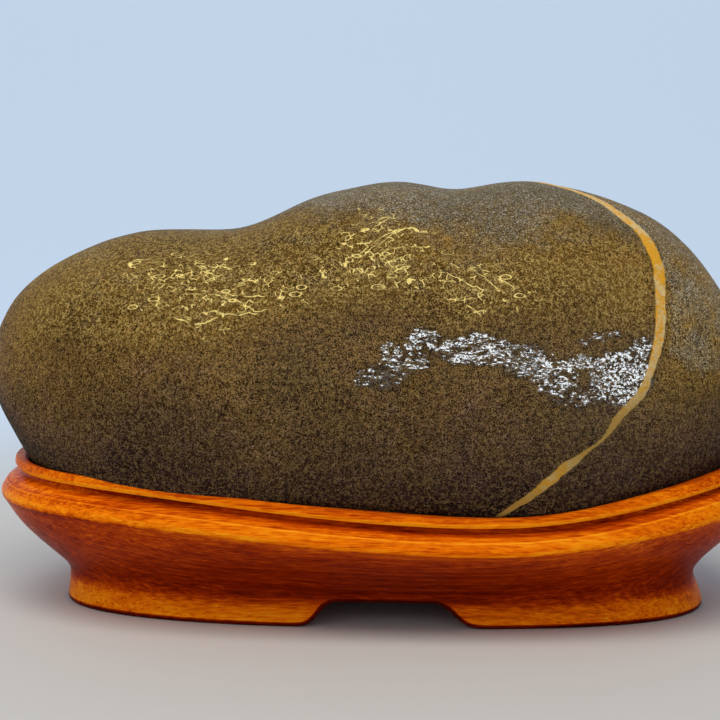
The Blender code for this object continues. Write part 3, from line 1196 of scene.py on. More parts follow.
@dataclass
class Pebble:
    """The stone: one closed surface with fine relief and its vein."""

    form: StoneForm = StoneForm()
    finish: StoneFinish = StoneFinish()
    zones: StoneZones = StoneZones()
    rows: int = 262
    columns: int = 352
    # (turn in degrees, x) of the vein's middle, once round the stone
    vein_path: Knots = (
        (-180.0, 31.0),
        (-120.0, 22.0),
        (-70.0, 24.0),
        (-42.0, 32.0),
        (-29.0, 39.4),
        (-20.0, 49.2),
        (-13.4, 55.5),
        (-8.6, 61.0),
        (-3.5, 68.3),
        (1.5, 73.4),
        (5.7, 78.3),
        (12.0, 81.9),
        (18.8, 84.2),
        (25.0, 85.6),
        (34.5, 86.1),
        (45.0, 86.3),
        (51.0, 85.8),
        (56.7, 84.3),
        (64.0, 81.4),
        (70.3, 76.2),
        (79.3, 68.3),
        (84.0, 61.5),
        (88.0, 55.2),
        (96.0, 46.5),
        (110.0, 39.5),
        (140.0, 33.0),
        (180.0, 31.0),
    )
    # (turn in degrees, half-width) of the vein
    vein_girth: Knots = (
        (-180.0, 1.0),
        (-60.0, 0.9),
        (-28.0, 0.95),
        (-20.0, 1.45),
        (-12.5, 1.60),
        (-9.5, 1.25),
        (-6.5, 0.55),
        (-3.5, 0.60),
        (0.0, 1.00),
        (12.0, 1.20),
        (20.0, 1.45),
        (34.0, 1.50),
        (45.0, 1.75),
        (52.0, 2.10),
        (66.0, 2.10),
        (80.0, 1.80),
        (92.0, 1.50),
        (120.0, 1.10),
        (180.0, 1.0),
    )
    # half the step that the vein's slope is measured over, in degrees
    vein_step: float = 0.5
    # the section's mean radius, which turns degrees into millimetres round it
    mean_radius: float = 60.0
    # share, cell size and seed of the changes in the vein's width
    vein_swell: tuple[float, float, int] = (0.15, 7.0, 5)
    vein_rise: float = 0.26
    # least share of that rise, how much more it grows, and its cell size and seed
    vein_lumps: tuple[float, float, float, int] = (0.75, 0.5, 6.0, 3)
    # (size, depth) of the worn waves, their first seed, and how far they sink
    relief: Knots = ((26.0, 0.30), (9.0, 0.11), (4.0, 0.055))
    relief_seed: int = 11
    relief_sink: float = 0.7
    # heights between which the relief comes in above the stand's seat
    seat_fade: Pair = (40.0, 56.0)
    # marks at the two ends, where they aren't 0: far from the vein, and fairly bright
    tip_marks: tuple[tuple[str, float], ...] = (("vein", 99.0), ("vein_width", 1.0), ("shade", 0.9))

    def build(self) -> bpy.types.Object:
        """Work out the surface on a grid of end angle by turn, and mesh it.

        The rows run from the left end to the right end, at equal steps of the end
        angle, and a fan closes each end. Relief is added along the smooth surface's
        normals.

        Returns:
            The stone.
        """
        angle = np.pi * np.arange(1, self.rows) / self.rows
        turn = 2.0 * np.pi * np.arange(self.columns) / self.columns - np.pi
        end_angle, round_angle = np.meshgrid(angle, turn, indexing="ij")
        body = self.form.surface(end_angle, round_angle)
        normal = self.normals(body)
        distance, width = self.vein(body, round_angle)
        body = body + normal * self.height(body, distance, width)[..., None]
        marks = {"vein": distance, "vein_width": width}
        marks |= self.zones.marks(body, round_angle, distance)

        count = body.shape[0] * body.shape[1]
        index = np.arange(count).reshape(body.shape[:2])
        index = np.concatenate([index, index[:, :1]], axis=1)
        fans = [fan_faces(count, index[0])[:, [0, 2, 1]], fan_faces(count + 1, index[-1])]
        girth = self.form.girth_height(np.array(self.form.ends))
        tips = np.stack([self.form.ends, (0.0, 0.0), girth], axis=1)
        tip_marks = dict(self.tip_marks)
        for key, value in marks.items():
            marks[key] = np.append(value.ravel(), [tip_marks.get(key, 0.0)] * 2)
        points = np.concatenate([body.reshape(-1, 3), tips])
        return make_mesh("pebble", points, grid_faces(index), np.concatenate(fans), marks)

    def normals(self, body: Array) -> Array:
        """Outward directions: the cross product of the steps along both parameters.

        Args:
            body: the smooth surface.

        Returns:
            Directions of length 1.
        """
        along = np.gradient(body, axis=0)
        across = np.roll(body, -1, axis=1) - np.roll(body, 1, axis=1)
        normal = np.cross(along, across)
        normal /= np.linalg.norm(normal, axis=-1, keepdims=True)
        outward = np.sum(normal * (body - body.mean(axis=(0, 1))))
        return normal * np.sign(outward)

    def vein(self, body: Array, turn: Array) -> tuple[Array, Array]:
        """Where the vein lies.

        Its middle is a smooth curve x(turn). The distance from it is measured square to
        the curve: (x - x(turn)) over the length of (1, dx/ds), where s runs round the
        section.

        Args:
            body: the smooth surface.
            turn: each point's turn.

        Returns:
            The signed distance and the half-width, in millimetres.
        """
        degrees = np.degrees(turn)
        curve = curve_through(self.vein_path)
        slope = curve(degrees + self.vein_step) - curve(degrees - self.vein_step)
        slope = slope / (2.0 * np.radians(self.vein_step) * self.mean_radius)
        distance = (body[..., 0] - curve(degrees)) / np.hypot(1.0, slope)
        share, size, seed = self.vein_swell
        swell = 1.0 + share * lattice_noise(body, size, seed)
        return distance, curve_through(self.vein_girth)(degrees) * swell

    def height(self, body: Array, distance: Array, width: Array) -> Array:
        """Relief over the smooth surface: worn waves, and the vein standing proud.

        The waves sink more than they rise, and fade out where the stone sits in its
        stand, so that the stone stays in its place.

        Args:
            body: the smooth surface.
            distance: distance from the vein's middle.
            width: the vein's half-width.

        Returns:
            Heights in millimetres.
        """
        waves = np.zeros(distance.shape)
        for seed, (size, depth) in enumerate(self.relief, self.relief_seed):
            waves += depth * (lattice_noise(body, size, seed) - self.relief_sink)
        least, more, size, seed = self.vein_lumps
        ridge = self.vein_rise * bell(distance / width, 0.0, 1.0)
        ridge = ridge * (least + more * lattice_noise(body, size, seed))
        return (waves + ridge) * smoothstep(*self.seat_fade, body[..., 2])

    def dress(self, stone: bpy.types.Object) -> None:
        """Give the stone its finish, and let it stand for its solid.

        Args:
            stone: the meshed piece.
        """
        stone.data.materials.append(self.finish.material())
        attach(stone, "root")
        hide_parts(Node.STONE.value)


# ---- stand ---------------------------------------------------------------------------


@dataclass(frozen=True)
class Figure:
    """A pattern drawn out along the wood: its scale along X as a share, and its weight."""

    along: float
    noise: Noise
    weight: float

    def lay(self, s: Sheet) -> Socket:
        """The pattern, between 0 and 1."""
        return s.noise(s.place((self.along, 1.0, 1.0)), self.noise)


@dataclass(frozen=True)
class WoodFinish:
    """The varnished hardwood: linear colours against tone, from pores and painted shadow to painted
    highlights on the arrises.

    The `tone` mark says how light each part of the moulding is, as painted light and shade:
    highlights on the arrises, shade in the cove, under the body and at the sole's edge.
    Fibres, streaks, flecks and pores run along X, and a curly figure crosses them.
    """

    # colours by tone, from painted shadow through the wood's reds to painted highlight
    shades: Stops = (
        (0.0, (0.040, 0.0018, 0.0002)),
        (0.2, (0.120, 0.0060, 0.0004)),
        (0.4, (0.270, 0.0180, 0.0006)),
        (0.6, (0.530, 0.0620, 0.0010)),
        (0.8, (0.880, 0.1900, 0.0018)),
        (1.0, (1.000, 0.3600, 0.0080)),
    )
    streak: Figure = Figure(0.035, Noise(520.0, 3.0, 0.6), 0.46)
    fibre: Figure = Figure(0.035, Noise(2000.0, 3.0, 0.6), 0.54)
    fleck: Figure = Figure(0.16, Noise(1300.0, 2.0, 0.6), 0.40)
    curl: Figure = Figure(0.5, Noise(420.0, 2.0, 0.55, 1.4), 0.16)
    pore: Figure = Figure(0.06, Noise(2300.0, 1.0), -0.16)
    pore_edge: Span = Span(0.64, 0.74)
    # growth rings: how many in a metre, how they bend, and the y and z of their middle
    rings_per_metre: float = 62.0
    ring_bend: Figure = Figure(0.09, Noise(26.0, 3.0, 0.55), 9.0)
    ring_middle: Pair = (-0.19, -0.16)
    ring_weight: float = 0.04
    roughness: Span = Span(0.3, 0.7, 0.36, 0.26)
    grain_depth: float = 0.00005
    coat_weight: float = 0.015
    coat_roughness: float = 0.20
    ior: float = 1.45
    gloss: float = 0.035
    gloss_tint: Colour = (1.0, 0.55, 0.15)

    def material(self) -> bpy.types.Material:
        """Add the patterns to the `tone` mark, and colour the wood by the sum.

        Returns:
            The material.
        """
        s = Sheet("varnished_wood")
        streak, fibre, fleck = self.streak.lay(s), self.fibre.lay(s), self.fleck.lay(s)
        pores = s.span(self.pore.lay(s), self.pore_edge)
        tone = s.math(
            "ADD",
            s.mark("tone"),
            s.math("MULTIPLY", self.rings(s), self.ring_weight),
            s.swing(streak, self.streak.weight),
            s.swing(fibre, self.fibre.weight),
            s.swing(fleck, self.fleck.weight),
            s.swing(self.curl.lay(s), self.curl.weight),
            s.math("MULTIPLY", pores, self.pore.weight),
        )
        return s.finish(
            {
                "Base Color": s.ramp(tone, self.shades),
                "Roughness": s.span(streak, self.roughness),
                "Normal": s.bump(s.math("ADD", fibre, fleck), self.grain_depth),
                "Coat Weight": self.coat_weight,
                "Coat Roughness": self.coat_roughness,
                "Coat IOR": self.ior,
                "IOR": self.ior,
                "Specular IOR Level": self.gloss,
                "Specular Tint": self.gloss_tint,
            }
        )

    def rings(self, s: Sheet) -> Socket:
        """Growth rings: the sine of the distance from a line along X, bent by slow noise.

        Args:
            s: the sheet that the nodes go on.

        Returns:
            The wave, between -1 and 1.
        """
        split = s.node("ShaderNodeSeparateXYZ", {0: s.even})
        squares = []
        for part, middle in zip(split.outputs[1:], self.ring_middle):
            away = s.math("SUBTRACT", part, middle)
            squares.append(s.math("MULTIPLY", away, away))
        distance = s.math("SQRT", s.math("ADD", *squares))
        phase = s.math("MULTIPLY", distance, 2.0 * math.pi * self.rings_per_metre)
        bend = s.math("MULTIPLY", self.ring_bend.lay(s), self.ring_bend.weight)
        return s.math("SINE", s.math("ADD", phase, bend))


@dataclass(frozen=True)
class Corner:
    """A corner of the moulding: where it is, its rounding, and the tones on and after it, which are painted
    light and shade.
    """

    out: float
    z: float
    radius: float
    tone: float
    run: float


@dataclass(frozen=True)
class EndTerm:
    """A change that comes in smoothly toward one end, as a bell curve of the height."""

    start: float
    end: float
    amount: float
    middle: float
    spread: float

    def at(self, x: Array, z: Array) -> Array:
        """The change at x, for height z in the low place."""
        share = smoothstep(self.start, self.end, x)
        return self.amount * share * bell(z, self.middle, self.spread)


@dataclass(frozen=True)
class Outline:
    """Points of the foot's outline on the table, and the outward direction at each."""

    x: Array
    y: Array
    out_x: Array
    out_y: Array

    def moved(self, out: Array) -> tuple[Array, Array]:
        """The x and y of places that far outside the outline."""
        return self.x + out * self.out_x, self.y + out * self.out_y


@dataclass
class Stand:
    """The stand: a moulded block with a dished seat and an arch between two feet.

    The moulding is given as distances out from the foot's outline against heights in
    its low place, and a sheer lifts it toward both ends.
    """

    form: StoneForm = StoneForm()
    finish: WoodFinish = WoodFinish()
    centre_x: float = 2.0
    foot_half: Pair = (103.0, 41.0)
    foot_power: float = 2.75
    columns: int = 880
    # steps that the outline is measured in, to space the columns evenly
    outline_steps: int = 20000
    # flaring foot and swelling body as (height, distance out), up to below the nose
    side: Knots = (
        (0.0, 0.75),
        (1.3, 0.45),
        (2.3, 0.15),
        (4.2, -0.6),
        (6.2, -1.45),
        (8.2, -2.0),
        (10.2, -1.4),
        (12.5, 0.8),
        (15.5, 4.4),
        (18.4, 8.4),
        (21.2, 12.4),
        (24.0, 15.8),
        (26.4, 18.3),
    )
    # the same as (height, tone): painted light and shade, with a painted shadow at the sole's edge, the
    # foot's flare lit, and painted shade from the crease up the body
    side_tone: Knots = (
        (0.0, 0.10),
        (1.1, 0.14),
        (1.5, 0.82),
        (3.0, 0.80),
        (5.5, 0.74),
        (7.4, 0.48),
        (8.6, 0.37),
        (12.0, 0.38),
        (17.0, 0.41),
        (22.0, 0.47),
        (24.6, 0.52),
        (26.4, 0.60),
    )
    waist: float = 8.2
    body_rows: int = 22
    # rows of the foot, crowded toward the sole by a power of their share of the height
    foot_rows: int = 18
    foot_crowding: float = 1.5
    # how far the sole's edge is drawn in, how high its rounding reaches, and how high its painted shadow
    # reaches
    foot_ease: Pair = (1.2, 1.4)
    edge_band: float = 1.5
    sole_rounds: int = 4
    # high tones are painted highlights on the arrises, lower ones painted shade in the cove under the rim
    corners: tuple[Corner, ...] = (
        Corner(19.55, 27.5, 1.5, 0.86, 0.84),
        Corner(19.5, 28.9, 1.4, 0.76, 0.78),
        Corner(18.1, 31.2, 2.0, 0.94, 0.66),
        Corner(16.2, 32.4, 1.1, 0.58, 0.54),
        Corner(13.6, 33.4, 0.7, 0.54, 0.54),
        Corner(13.5, 34.6, 0.5, 0.54, 0.56),
        Corner(15.5, 35.0, 0.3, 0.64, 0.96),
        Corner(15.9, 36.1, 0.8, 0.90, 0.72),
        Corner(14.9, 38.0, 1.0, 0.70, 0.70),
    )
    # points on each corner, and the most of a run that its rounding may take
    corner_points: int = 6
    corner_reach: float = 0.48
    # where the run after the last corner heads, from that corner
    rim_run: Pair = (-4.0, 0.0)
    out_terms: tuple[EndTerm, ...] = (
        EndTerm(-20.0, -95.0, 2.4, 16.5, 7.5),
        EndTerm(-20.0, -95.0, -1.1, 1.5, 4.0),
        EndTerm(-70.0, -112.0, -1.6, 34.5, 2.0),
        EndTerm(40.0, 95.0, -1.1, 13.5, 5.5),
    )
    up_terms: tuple[EndTerm, ...] = (
        EndTerm(55.0, 100.0, 1.0, 32.3, 2.5),
        EndTerm(45.0, 80.0, 1.1, 39.0, 1.6),
    )
    # changes of painted light: at the left the upper arris's painted highlight fades and the foot is a
    # little lighter
    tone_terms: tuple[EndTerm, ...] = (
        EndTerm(-15.0, -70.0, -0.15, 31.0, 0.9),
        EndTerm(-15.0, -70.0, 0.15, 32.6, 1.5),
        EndTerm(-40.0, -90.0, -0.20, 27.1, 0.8),
        EndTerm(-40.0, -90.0, 0.12, 28.8, 0.5),
        EndTerm(-25.0, -75.0, 0.07, 3.5, 4.0),
    )
    # the sheer: its low place, and how far it runs and rises to the left and the right
    nose_z: float = 28.0
    sheer_low_x: float = 35.0
    sheer_reach: Pair = (138.0, 118.0)
    sheer_rise: Pair = (8.3, 12.5)
    sheer_power: float = 1.3
    sheer_slope: float = 0.4
    seat_gap: float = 0.3
    seat_ease: float = 0.5
    # how far in from the rim the seat is looked for, and how many times that is halved
    seat_search: float = 24.0
    halvings: int = 30
    arch_top: float = 7.3
    # middles and runs of the arch's left and right sides
    arch_middle: Pair = (-15.9, 25.7)
    arch_run: Pair = (3.2, 4.2)
    arch_span: float = 1.6
    arch_fade: float = 0.04
    # rows of the rim's top, from the bead in to the stone, as (share of the way to the
    # seat's eased edge, share of the ease after it, drop, tone); the tone falls to painted
    # shade beside the stone
    lip: tuple[tuple[float, float, float, float], ...] = (
        (0.35, 0.0, 0.0, 0.70),
        (0.75, 0.0, 0.0, 0.66),
        (1.0, 0.0, 0.0, 0.52),
        (1.0, 0.6, 0.12, 0.25),
        (1.0, 1.0, 0.45, 0.10),
    )
    hidden_tone: float = 0.4
    seat_columns: int = 26
    sole_columns: int = 18

    def sheer(self, x: Array, z: Array) -> Array:
        """How far the moulding is lifted at x, for a point at height z in the low place.

        The lift is a half cosine wave from the low place out to each end, times
        (z / nose)^power below the nose and a straight slope above it.

        Args:
            x: place along the stand.
            z: height in the low place.

        Returns:
            The lift.
        """
        left = x < self.sheer_low_x
        share = np.abs(x - self.sheer_low_x) / np.where(left, *self.sheer_reach)
        climb = (1.0 - np.cos(np.pi * np.clip(share, 0.0, 1.0))) / 2.0
        climb = climb * np.where(left, *self.sheer_rise)
        height = np.maximum(z, 0.0) / self.nose_z
        above = 1.0 + self.sheer_slope * (height - 1.0)
        lift = climb * np.where(height < 1.0, height**self.sheer_power, above)
        return lift + sum(term.at(x, z) for term in self.up_terms)

    def fullness(self, x: Array, z: Array) -> Array:
        """How much farther out the moulding stands at x, for height z in the low place."""
        return sum(term.at(x, z) for term in self.out_terms)

    def tone_at(self, z: Array) -> Array:
        """The tone of the foot and body, for height z in the low place."""
        return np.interp(z, *np.array(self.side_tone).T)

    def outline(self, angle: Array) -> Outline:
        """The foot's outline on the table.

        It is the figure |x/a|^p + |y/b|^p = 1, reached along the ray (a cos, b sin).

        Args:
            angle: angle round the stand.

        Returns:
            The points at those angles.
        """
        half_x, half_y = self.foot_half
        power = self.foot_power
        cosine, sine = np.cos(angle), np.sin(angle)
        swell = (np.abs(cosine) ** power + np.abs(sine) ** power) ** (-1.0 / power)
        out_x = np.sign(cosine) * np.abs(swell * cosine) ** (power - 1.0) / half_x
        out_y = np.sign(sine) * np.abs(swell * sine) ** (power - 1.0) / half_y
        length = np.hypot(out_x, out_y)
        x = self.centre_x + half_x * swell * cosine
        return Outline(x, half_y * swell * sine, out_x / length, out_y / length)

    def stations(self) -> Array:
        """Angles of the columns, at equal steps along the outline.

        Returns:
            Angles from 0, round by the back, to just under a full turn.
        """
        half = self.columns // 2
        fine = np.linspace(0.0, np.pi, self.outline_steps + 1)
        base = self.outline(fine)
        run = np.cumsum(np.hypot(np.diff(base.x), np.diff(base.y)))
        run = np.append(0.0, run)
        angle = np.interp(np.linspace(0.0, run[-1], half + 1), run, fine)
        return np.concatenate([angle, 2.0 * np.pi - angle[-2:0:-1]])

    def arch(self, x: Array) -> Array:
        """Height of the underside: on the table, with an S on each side up to the arch.

        Each S is 1 + tanh((x - middle) / run), as a share of its value `arch_span` runs
        past the middle, less a little so that it ends.

        Args:
            x: place along the stand.

        Returns:
            The height.
        """
        left = 1.0 + np.tanh((x - self.arch_middle[0]) / self.arch_run[0])
        right = 1.0 - np.tanh((x - self.arch_middle[1]) / self.arch_run[1])
        share = np.minimum(left, right) / (1.0 + math.tanh(self.arch_span))
        return np.maximum(self.arch_top * np.minimum(share, 1.0) - self.arch_fade, 0.0)

    def foot_rows_at(self, x: Array) -> tuple[Array, Array, Array]:
        """The foot, whose rows share the height between the arch and the waist.

        The sole's height in the low place is found in a few rounds of arch - sheer. Its
        edge is rounded as a quarter circle, and keeps a painted shadow, for a rise measured
        square to the arch's slope.

        Args:
            x: places along the stand, round the outline.

        Returns:
            Distances out, heights and tones, by row and column.
        """
        arch = self.arch(x)
        half = self.columns // 2 + 1
        slope = np.gradient(arch[:half], x[:half])
        slope = np.concatenate([slope, slope[-2:0:-1]])
        sole = arch
        for _ in range(self.sole_rounds):
            sole = arch - self.sheer(x, sole)
        share = np.linspace(0.0, 1.0, self.foot_rows, endpoint=False)[:, None]
        z = sole + (self.waist - sole) * share**self.foot_crowding
        rise = (z - sole) / np.hypot(1.0, slope)
        inset, ease = self.foot_ease
        above = np.clip(rise / ease, 0.0, 1.0)
        out = curve_through(self.side)(z) - inset * (1.0 - np.sqrt(1.0 - (1.0 - above) ** 2))
        tone = np.minimum(self.tone_at(z), self.tone_at(np.minimum(rise, self.edge_band)))
        return out, z, tone

    def body_profile(self) -> tuple[Array, Array, Array]:
        """Distances out, heights and tones of the body, from the waist to the nose."""
        z = np.linspace(self.waist, self.side[-1][0], self.body_rows)
        return curve_through(self.side)(z), z, self.tone_at(z)

    def edge_profile(self) -> tuple[Array, Array, Array]:
        """The moulding above the body: straight runs joined by round corners.

        Each corner is a parabola that touches both its runs, close to an arc. It starts
        the arc's tangent length, radius / tan(half the inner angle), before the corner.

        Returns:
            Distances out, heights and tones.
        """
        places = np.array([(corner.out, corner.z) for corner in self.corners])
        before = np.array([self.side[-1][::-1]])
        chain = np.concatenate([before, places, places[-1:] + self.rim_run])
        share = np.linspace(0.0, 1.0, self.corner_points)[:, None]
        run_tone = self.side_tone[-1][1]
        points = []
        for corner, last, here, following in zip(self.corners, chain, chain[1:], chain[2:]):
            back, ahead = last - here, following - here
            reach = min(np.hypot(*back), np.hypot(*ahead)) * self.corner_reach
            back /= np.hypot(*back)
            ahead /= np.hypot(*ahead)
            half_angle = np.arccos(np.clip(back @ ahead, -1.0, 1.0)) / 2.0
            tangent = min(corner.radius / math.tan(half_angle), reach)
            start, end = here + back * tangent, here + ahead * tangent
            bend = (1 - share) ** 2 * start + 2 * share * (1 - share) * here + share**2 * end
            tone = np.interp(share, [0.0, 0.5, 1.0], [run_tone, corner.tone, corner.run])
            points.append(np.concatenate([bend, tone], axis=1))
            run_tone = corner.run
        return tuple(np.concatenate(points).T)

    def lip_rows(self, base: Outline, rim_out: float, rim_z: float) -> tuple[Array, Array, Array]:
        """The rim's top, which runs in level and eases down to where it meets the seat.

        Args:
            base: the outline.
            rim_out: distance out where the level top starts.
            rim_z: its height in the low place.

        Returns:
            Distances out, heights and tones, by row and column.
        """
        contact = self.contact(base, rim_out, rim_z)
        share, eased, drop, tone = np.array(self.lip).T[:, :, None] + 0.0 * base.x
        out = rim_out + (contact + self.seat_ease - rim_out) * share - self.seat_ease * eased
        return out, rim_z - drop, tone

    def contact(self, base: Outline, rim_out: float, rim_z: float) -> Array:
        """Find where the rim's level top meets the seat, by halving.

        Args:
            base: the outline.
            rim_out: distance out where the level top starts.
            rim_z: its height in the low place.

        Returns:
            The distance out for each column.
        """
        wood = np.full(base.x.shape, rim_out)
        cut = wood - self.seat_search
        more = self.fullness(base.x, rim_z)
        for _ in range(self.halvings):
            middle = (wood + cut) / 2.0
            x, y = base.moved(middle + more)
            is_wood = self.form.underside(x, y, self.seat_gap) > rim_z + self.sheer(x, rim_z)
            wood = np.where(is_wood, middle, wood)
            cut = np.where(is_wood, cut, middle)
        return wood

    def build(self) -> bpy.types.Object:
        """Carry the moulding round the outline, and close it above and below.

        Row by column, a point is outline + out * direction, lifted by the sheer.

        Returns:
            The stand.
        """
        base = self.outline(self.stations())
        edge = self.edge_profile()
        upper = [np.concatenate(pair)[:, None] + 0.0 * base.x for pair in zip(self.body_profile(), edge)]
        lip = self.lip_rows(base, edge[0][-1], edge[1][-1])
        parts = zip(self.foot_rows_at(base.x), upper, lip)
        out, height, tone = (np.concatenate(part) for part in parts)
        tone = tone + sum(term.at(base.x, height) for term in self.tone_terms)
        x, y = base.moved(out + self.fullness(base.x, height))
        return self.close(np.stack([x, y, height + self.sheer(x, height)], axis=-1), tone)

    def close(self, points: Array, tone: Array) -> bpy.types.Object:
        """Close the moulding with the sole below and the seat above, and mesh it.

        The sole runs from front to back at the arch's height, and the seat follows the
        stone's underside.

        Args:
            points: rows of the moulding, from the sole's edge to the seat's edge.
            tone: the tone of each.

        Returns:
            The stand.
        """
        index = np.arange(tone.size).reshape(tone.shape)
        ring = np.concatenate([index, index[:, :1]], axis=1)
        sole = self.cross_points(points[0], self.sole_columns)
        seat = self.cross_points(points[-1], self.seat_columns)
        under = self.form.underside(seat[..., 0], seat[..., 1], self.seat_gap)
        seat[..., 2] = np.minimum(under, seat[..., 2])
        sole_quads, sole_fans = self.cap_faces(index[0], tone.size, self.sole_columns)
        used = tone.size + sole[..., 0].size
        seat_quads, seat_fans = self.cap_faces(index[-1], used, self.seat_columns)
        spots = np.concatenate([part.reshape(-1, 3) for part in (points, sole, seat)])
        quads = np.concatenate([grid_faces(ring), sole_quads[:, ::-1], seat_quads])
        triangles = np.concatenate([sole_fans[:, ::-1], seat_fans])
        hidden = np.full(len(spots) - tone.size, self.hidden_tone)
        marks = {"tone": np.append(tone, hidden)}
        return make_mesh("carved_stand", spots, quads, triangles, marks)

    def cross_points(self, edge: Array, across: int) -> Array:
        """Points between the front and the back of an edge, closest together beside it.

        Args:
            edge: the points of the edge, round the block.
            across: steps from the front to the back.

        Returns:
            Rows from the right end to the left, each from the front to the back.
        """
        half = self.columns // 2
        share = np.linspace(0.0, 1.0, across + 1)[1:-1]
        share = (1.0 - np.cos(np.pi * share))[:, None] / 2.0
        front, back = edge[:half:-1, None], edge[1:half, None]
        return front + (back - front) * share

    def cap_faces(self, edge: Array, first: int, across: int) -> tuple[Array, Array]:
        """Faces over a cap that look up, with a fan at each end.

        Args:
            edge: the vertices of its edge, round the block.
            first: the first vertex between them.
            across: steps from the front to the back.

        Returns:
            The quads and the fans' triangles.
        """
        half = self.columns // 2
        middle = first + np.arange((half - 1) * (across - 1)).reshape(half - 1, across - 1)
        strip = np.concatenate([edge[:half:-1, None], middle, edge[1:half, None]], axis=1)
        fans = [fan_faces(edge[0], strip[0]), fan_faces(edge[half], strip[-1][::-1])]
        return grid_faces(strip), np.concatenate(fans)

    def dress(self, stand: bpy.types.Object) -> None:
        """Give the stand its finish, and let it stand for its solid.

        Args:
            stand: the meshed piece.
        """
        stand.data.materials.append(self.finish.material())
        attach(stand, "root")
        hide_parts(Node.STAND.value)


# ---- studio --------------------------------------------------------------------------


DAYLIGHT: Colour = (0.86, 0.94, 1.0)
LAMPLIGHT: Colour = (1.0, 0.74, 0.36)


def face_object(obj: bpy.types.Object, location: Array, direction: Array) -> None:
    """Put a camera or light at a place, looking along a direction with +Z upward."""
    obj.location = location
    obj.rotation_euler = Vector(direction).to_track_quat("-Z", "Y").to_euler()


@dataclass(frozen=True)
class Lamp:
    """A rectangular soft light that faces the object."""

    name: str
    azimuth: float
    elevation: float
    distance: float
    size: Pair
    watts: float
    colour: Colour
    reach: Reach = Reach.LIGHT
    only: str = ""

    def make(self, aim: Array) -> None:
        """Place the light on a sphere about `aim`, turned to face it.

        Azimuth 0 is the front, 90 the right, and elevation is above the horizon.

        Args:
            aim: the point that it faces.
        """
        a, e = math.radians(self.azimuth), math.radians(self.elevation)
        toward = np.array([math.sin(a) * math.cos(e), -math.cos(a) * math.cos(e), math.sin(e)])
        light = bpy.data.lights.new(self.name, "AREA")
        light.shape = "RECTANGLE"
        light.size, light.size_y = self.size
        light.energy = self.watts
        light.color = self.colour
        obj = bpy.data.objects.new(self.name, light)
        face_object(obj, aim + self.distance * toward, -toward)
        obj.visible_camera = False
        obj.visible_diffuse = self.reach is Reach.LIGHT
        obj.visible_glossy = self.reach is Reach.GLOSS
        if self.only:
            kept = bpy.data.collections.new(self.name)
            kept.objects.link(bpy.data.objects[self.only])
            obj.light_linking.receiver_collection = kept
        bpy.context.scene.collection.objects.link(obj)


@dataclass(frozen=True)
class FloorFinish:
    """The plain floor: pale and matt, bluer and glowing a little toward the backdrop."""

    near: Colour = (0.68, 0.66, 0.63)
    far: Colour = (0.40, 0.47, 0.56)
    change: Span = Span(0.06, 0.40)
    glow: Colour = (0.50, 0.605, 0.72)
    glow_strength: float = 0.57
    roughness: float = 0.8

    def material(self) -> bpy.types.Material:
        """Blend the two colours, and bring in the glow, along Y.

        Returns:
            The material.
        """
        s = Sheet("pale_floor")
        away = s.node("ShaderNodeSeparateXYZ", {0: s.even}).outputs[1]
        far = s.span(away, self.change)
        return s.finish(
            {
                "Base Color": s.blend(far, self.near, self.far),
                "Roughness": self.roughness,
                "Emission Strength": s.math("MULTIPLY", far, self.glow_strength),
                "Emission Color": self.glow,
            }
        )


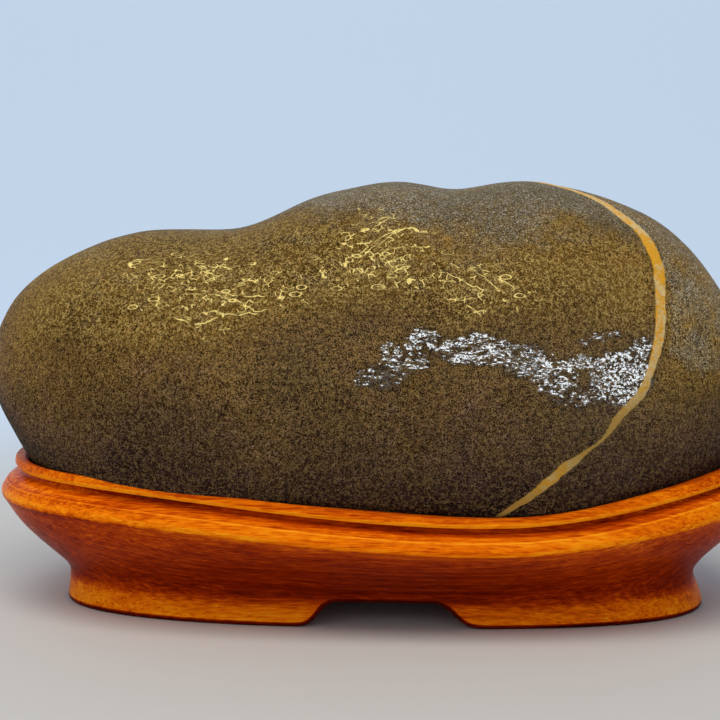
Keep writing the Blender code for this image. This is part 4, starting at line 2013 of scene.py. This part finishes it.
@dataclass
class Studio:
    """Camera, plain pale floor with a swept backdrop, and soft light.

    Places and sizes are in metres, the lens and its sensor in millimetres.
    """

    camera_place: Place = (0.0233, -0.5422, 0.1531)
    azimuth: float = 3.0
    pitch: float = 8.0
    lens: float = 85.0
    sensor: float = 36.0
    aim: Place = (0.0, 0.0, 0.07)
    floor_finish: FloorFinish = FloorFinish()
    floor_half: float = 3.0
    sweep_start: float = 0.62
    sweep_radius: float = 0.30
    sweep_points: int = 33
    wall_height: float = 1.9
    lamps: tuple[Lamp, ...] = (
        Lamp("overhead", -14.0, 66.0, 1.1, (1.1, 0.6), 7.5, (1.0, 0.94, 0.86)),
        Lamp("fill", -62.0, 24.0, 1.2, (0.7, 0.7), 1.2, (1.0, 0.97, 0.93)),
        Lamp("window_high", -4.0, 24.0, 0.9, (0.36, 0.24), 3.8, DAYLIGHT, Reach.GLOSS, "pebble"),
        Lamp("window_mid", 26.0, 12.0, 0.9, (0.42, 0.26), 4.8, DAYLIGHT, Reach.GLOSS, "pebble"),
        Lamp("window_side", 56.0, 8.0, 0.9, (0.34, 0.38), 5.2, DAYLIGHT, Reach.GLOSS, "pebble"),
        Lamp("low_front", 6.0, 14.0, 1.2, (0.8, 0.3), 1.7, LAMPLIGHT, Reach.LIGHT, "carved_stand"),
        Lamp("sheen", -14.0, 66.0, 1.1, (1.1, 0.6), 9.0, LAMPLIGHT, Reach.GLOSS, "carved_stand"),
    )
    world_colour: Colour = (0.74, 0.81, 0.90)
    world_strength: float = 0.42

    def make_camera(self) -> None:
        """The camera: turned a little to the left and tipped down."""
        a, p = math.radians(self.azimuth), math.radians(self.pitch)
        direction = np.array([-math.sin(a) * math.cos(p), math.cos(a) * math.cos(p), -math.sin(p)])
        camera = bpy.data.objects.new("camera", bpy.data.cameras.new("camera"))
        camera.data.lens = self.lens
        camera.data.sensor_width = self.sensor
        face_object(camera, np.array(self.camera_place), direction)
        bpy.context.scene.collection.objects.link(camera)
        bpy.context.scene.camera = camera

    def make_stage(self) -> None:
        """Floor and backdrop in one sheet: level, then a quarter circle, then upright."""
        turn = np.linspace(0.0, np.pi / 2.0, self.sweep_points)
        bend_y = self.sweep_start + self.sweep_radius * np.sin(turn)
        bend_z = self.sweep_radius * (1.0 - np.cos(turn))
        y = np.concatenate([[-self.floor_half], bend_y, bend_y[-1:]])
        z = np.concatenate([[0.0], bend_z, [self.wall_height]])
        rows = [np.stack([np.full(y.shape, x), y, z], axis=-1) for x in (-self.floor_half, self.floor_half)]
        points = np.stack(rows, axis=1)
        index = np.arange(points.shape[0] * 2).reshape(-1, 2)
        mesh = bpy.data.meshes.new("floor")
        mesh.from_pydata(points.reshape(-1, 3).tolist(), [], grid_faces(index)[:, ::-1].tolist())
        mesh.shade_smooth()
        mesh.materials.append(self.floor_finish.material())
        floor = bpy.data.objects.new("floor", mesh)
        bpy.context.scene.collection.objects.link(floor)

    def make_light(self) -> None:
        """The lamps, the pale surroundings, and plain colour handling."""
        for lamp in self.lamps:
            lamp.make(np.array(self.aim))
        world = bpy.data.worlds.new("surroundings")
        world.use_nodes = True
        background = world.node_tree.nodes["Background"]
        background.inputs[0].default_value = (*self.world_colour, 1.0)
        background.inputs[1].default_value = self.world_strength
        bpy.context.scene.world = world
        bpy.context.scene.view_settings.view_transform = "Standard"


def main() -> None:
    """Make the camera and stage, then each piece in order."""
    logging.basicConfig(level=logging.INFO, format="%(message)s")
    log = logging.getLogger("river_pebble")
    studio = Studio()
    studio.make_camera()
    studio.make_stage()
    for maker in (Pebble(), Stand()):
        piece = maker.build()
        maker.dress(piece)
        log.info("%s: %d faces", piece.name, len(piece.data.polygons))
    studio.make_light()


if __name__ == "__main__":
    main()
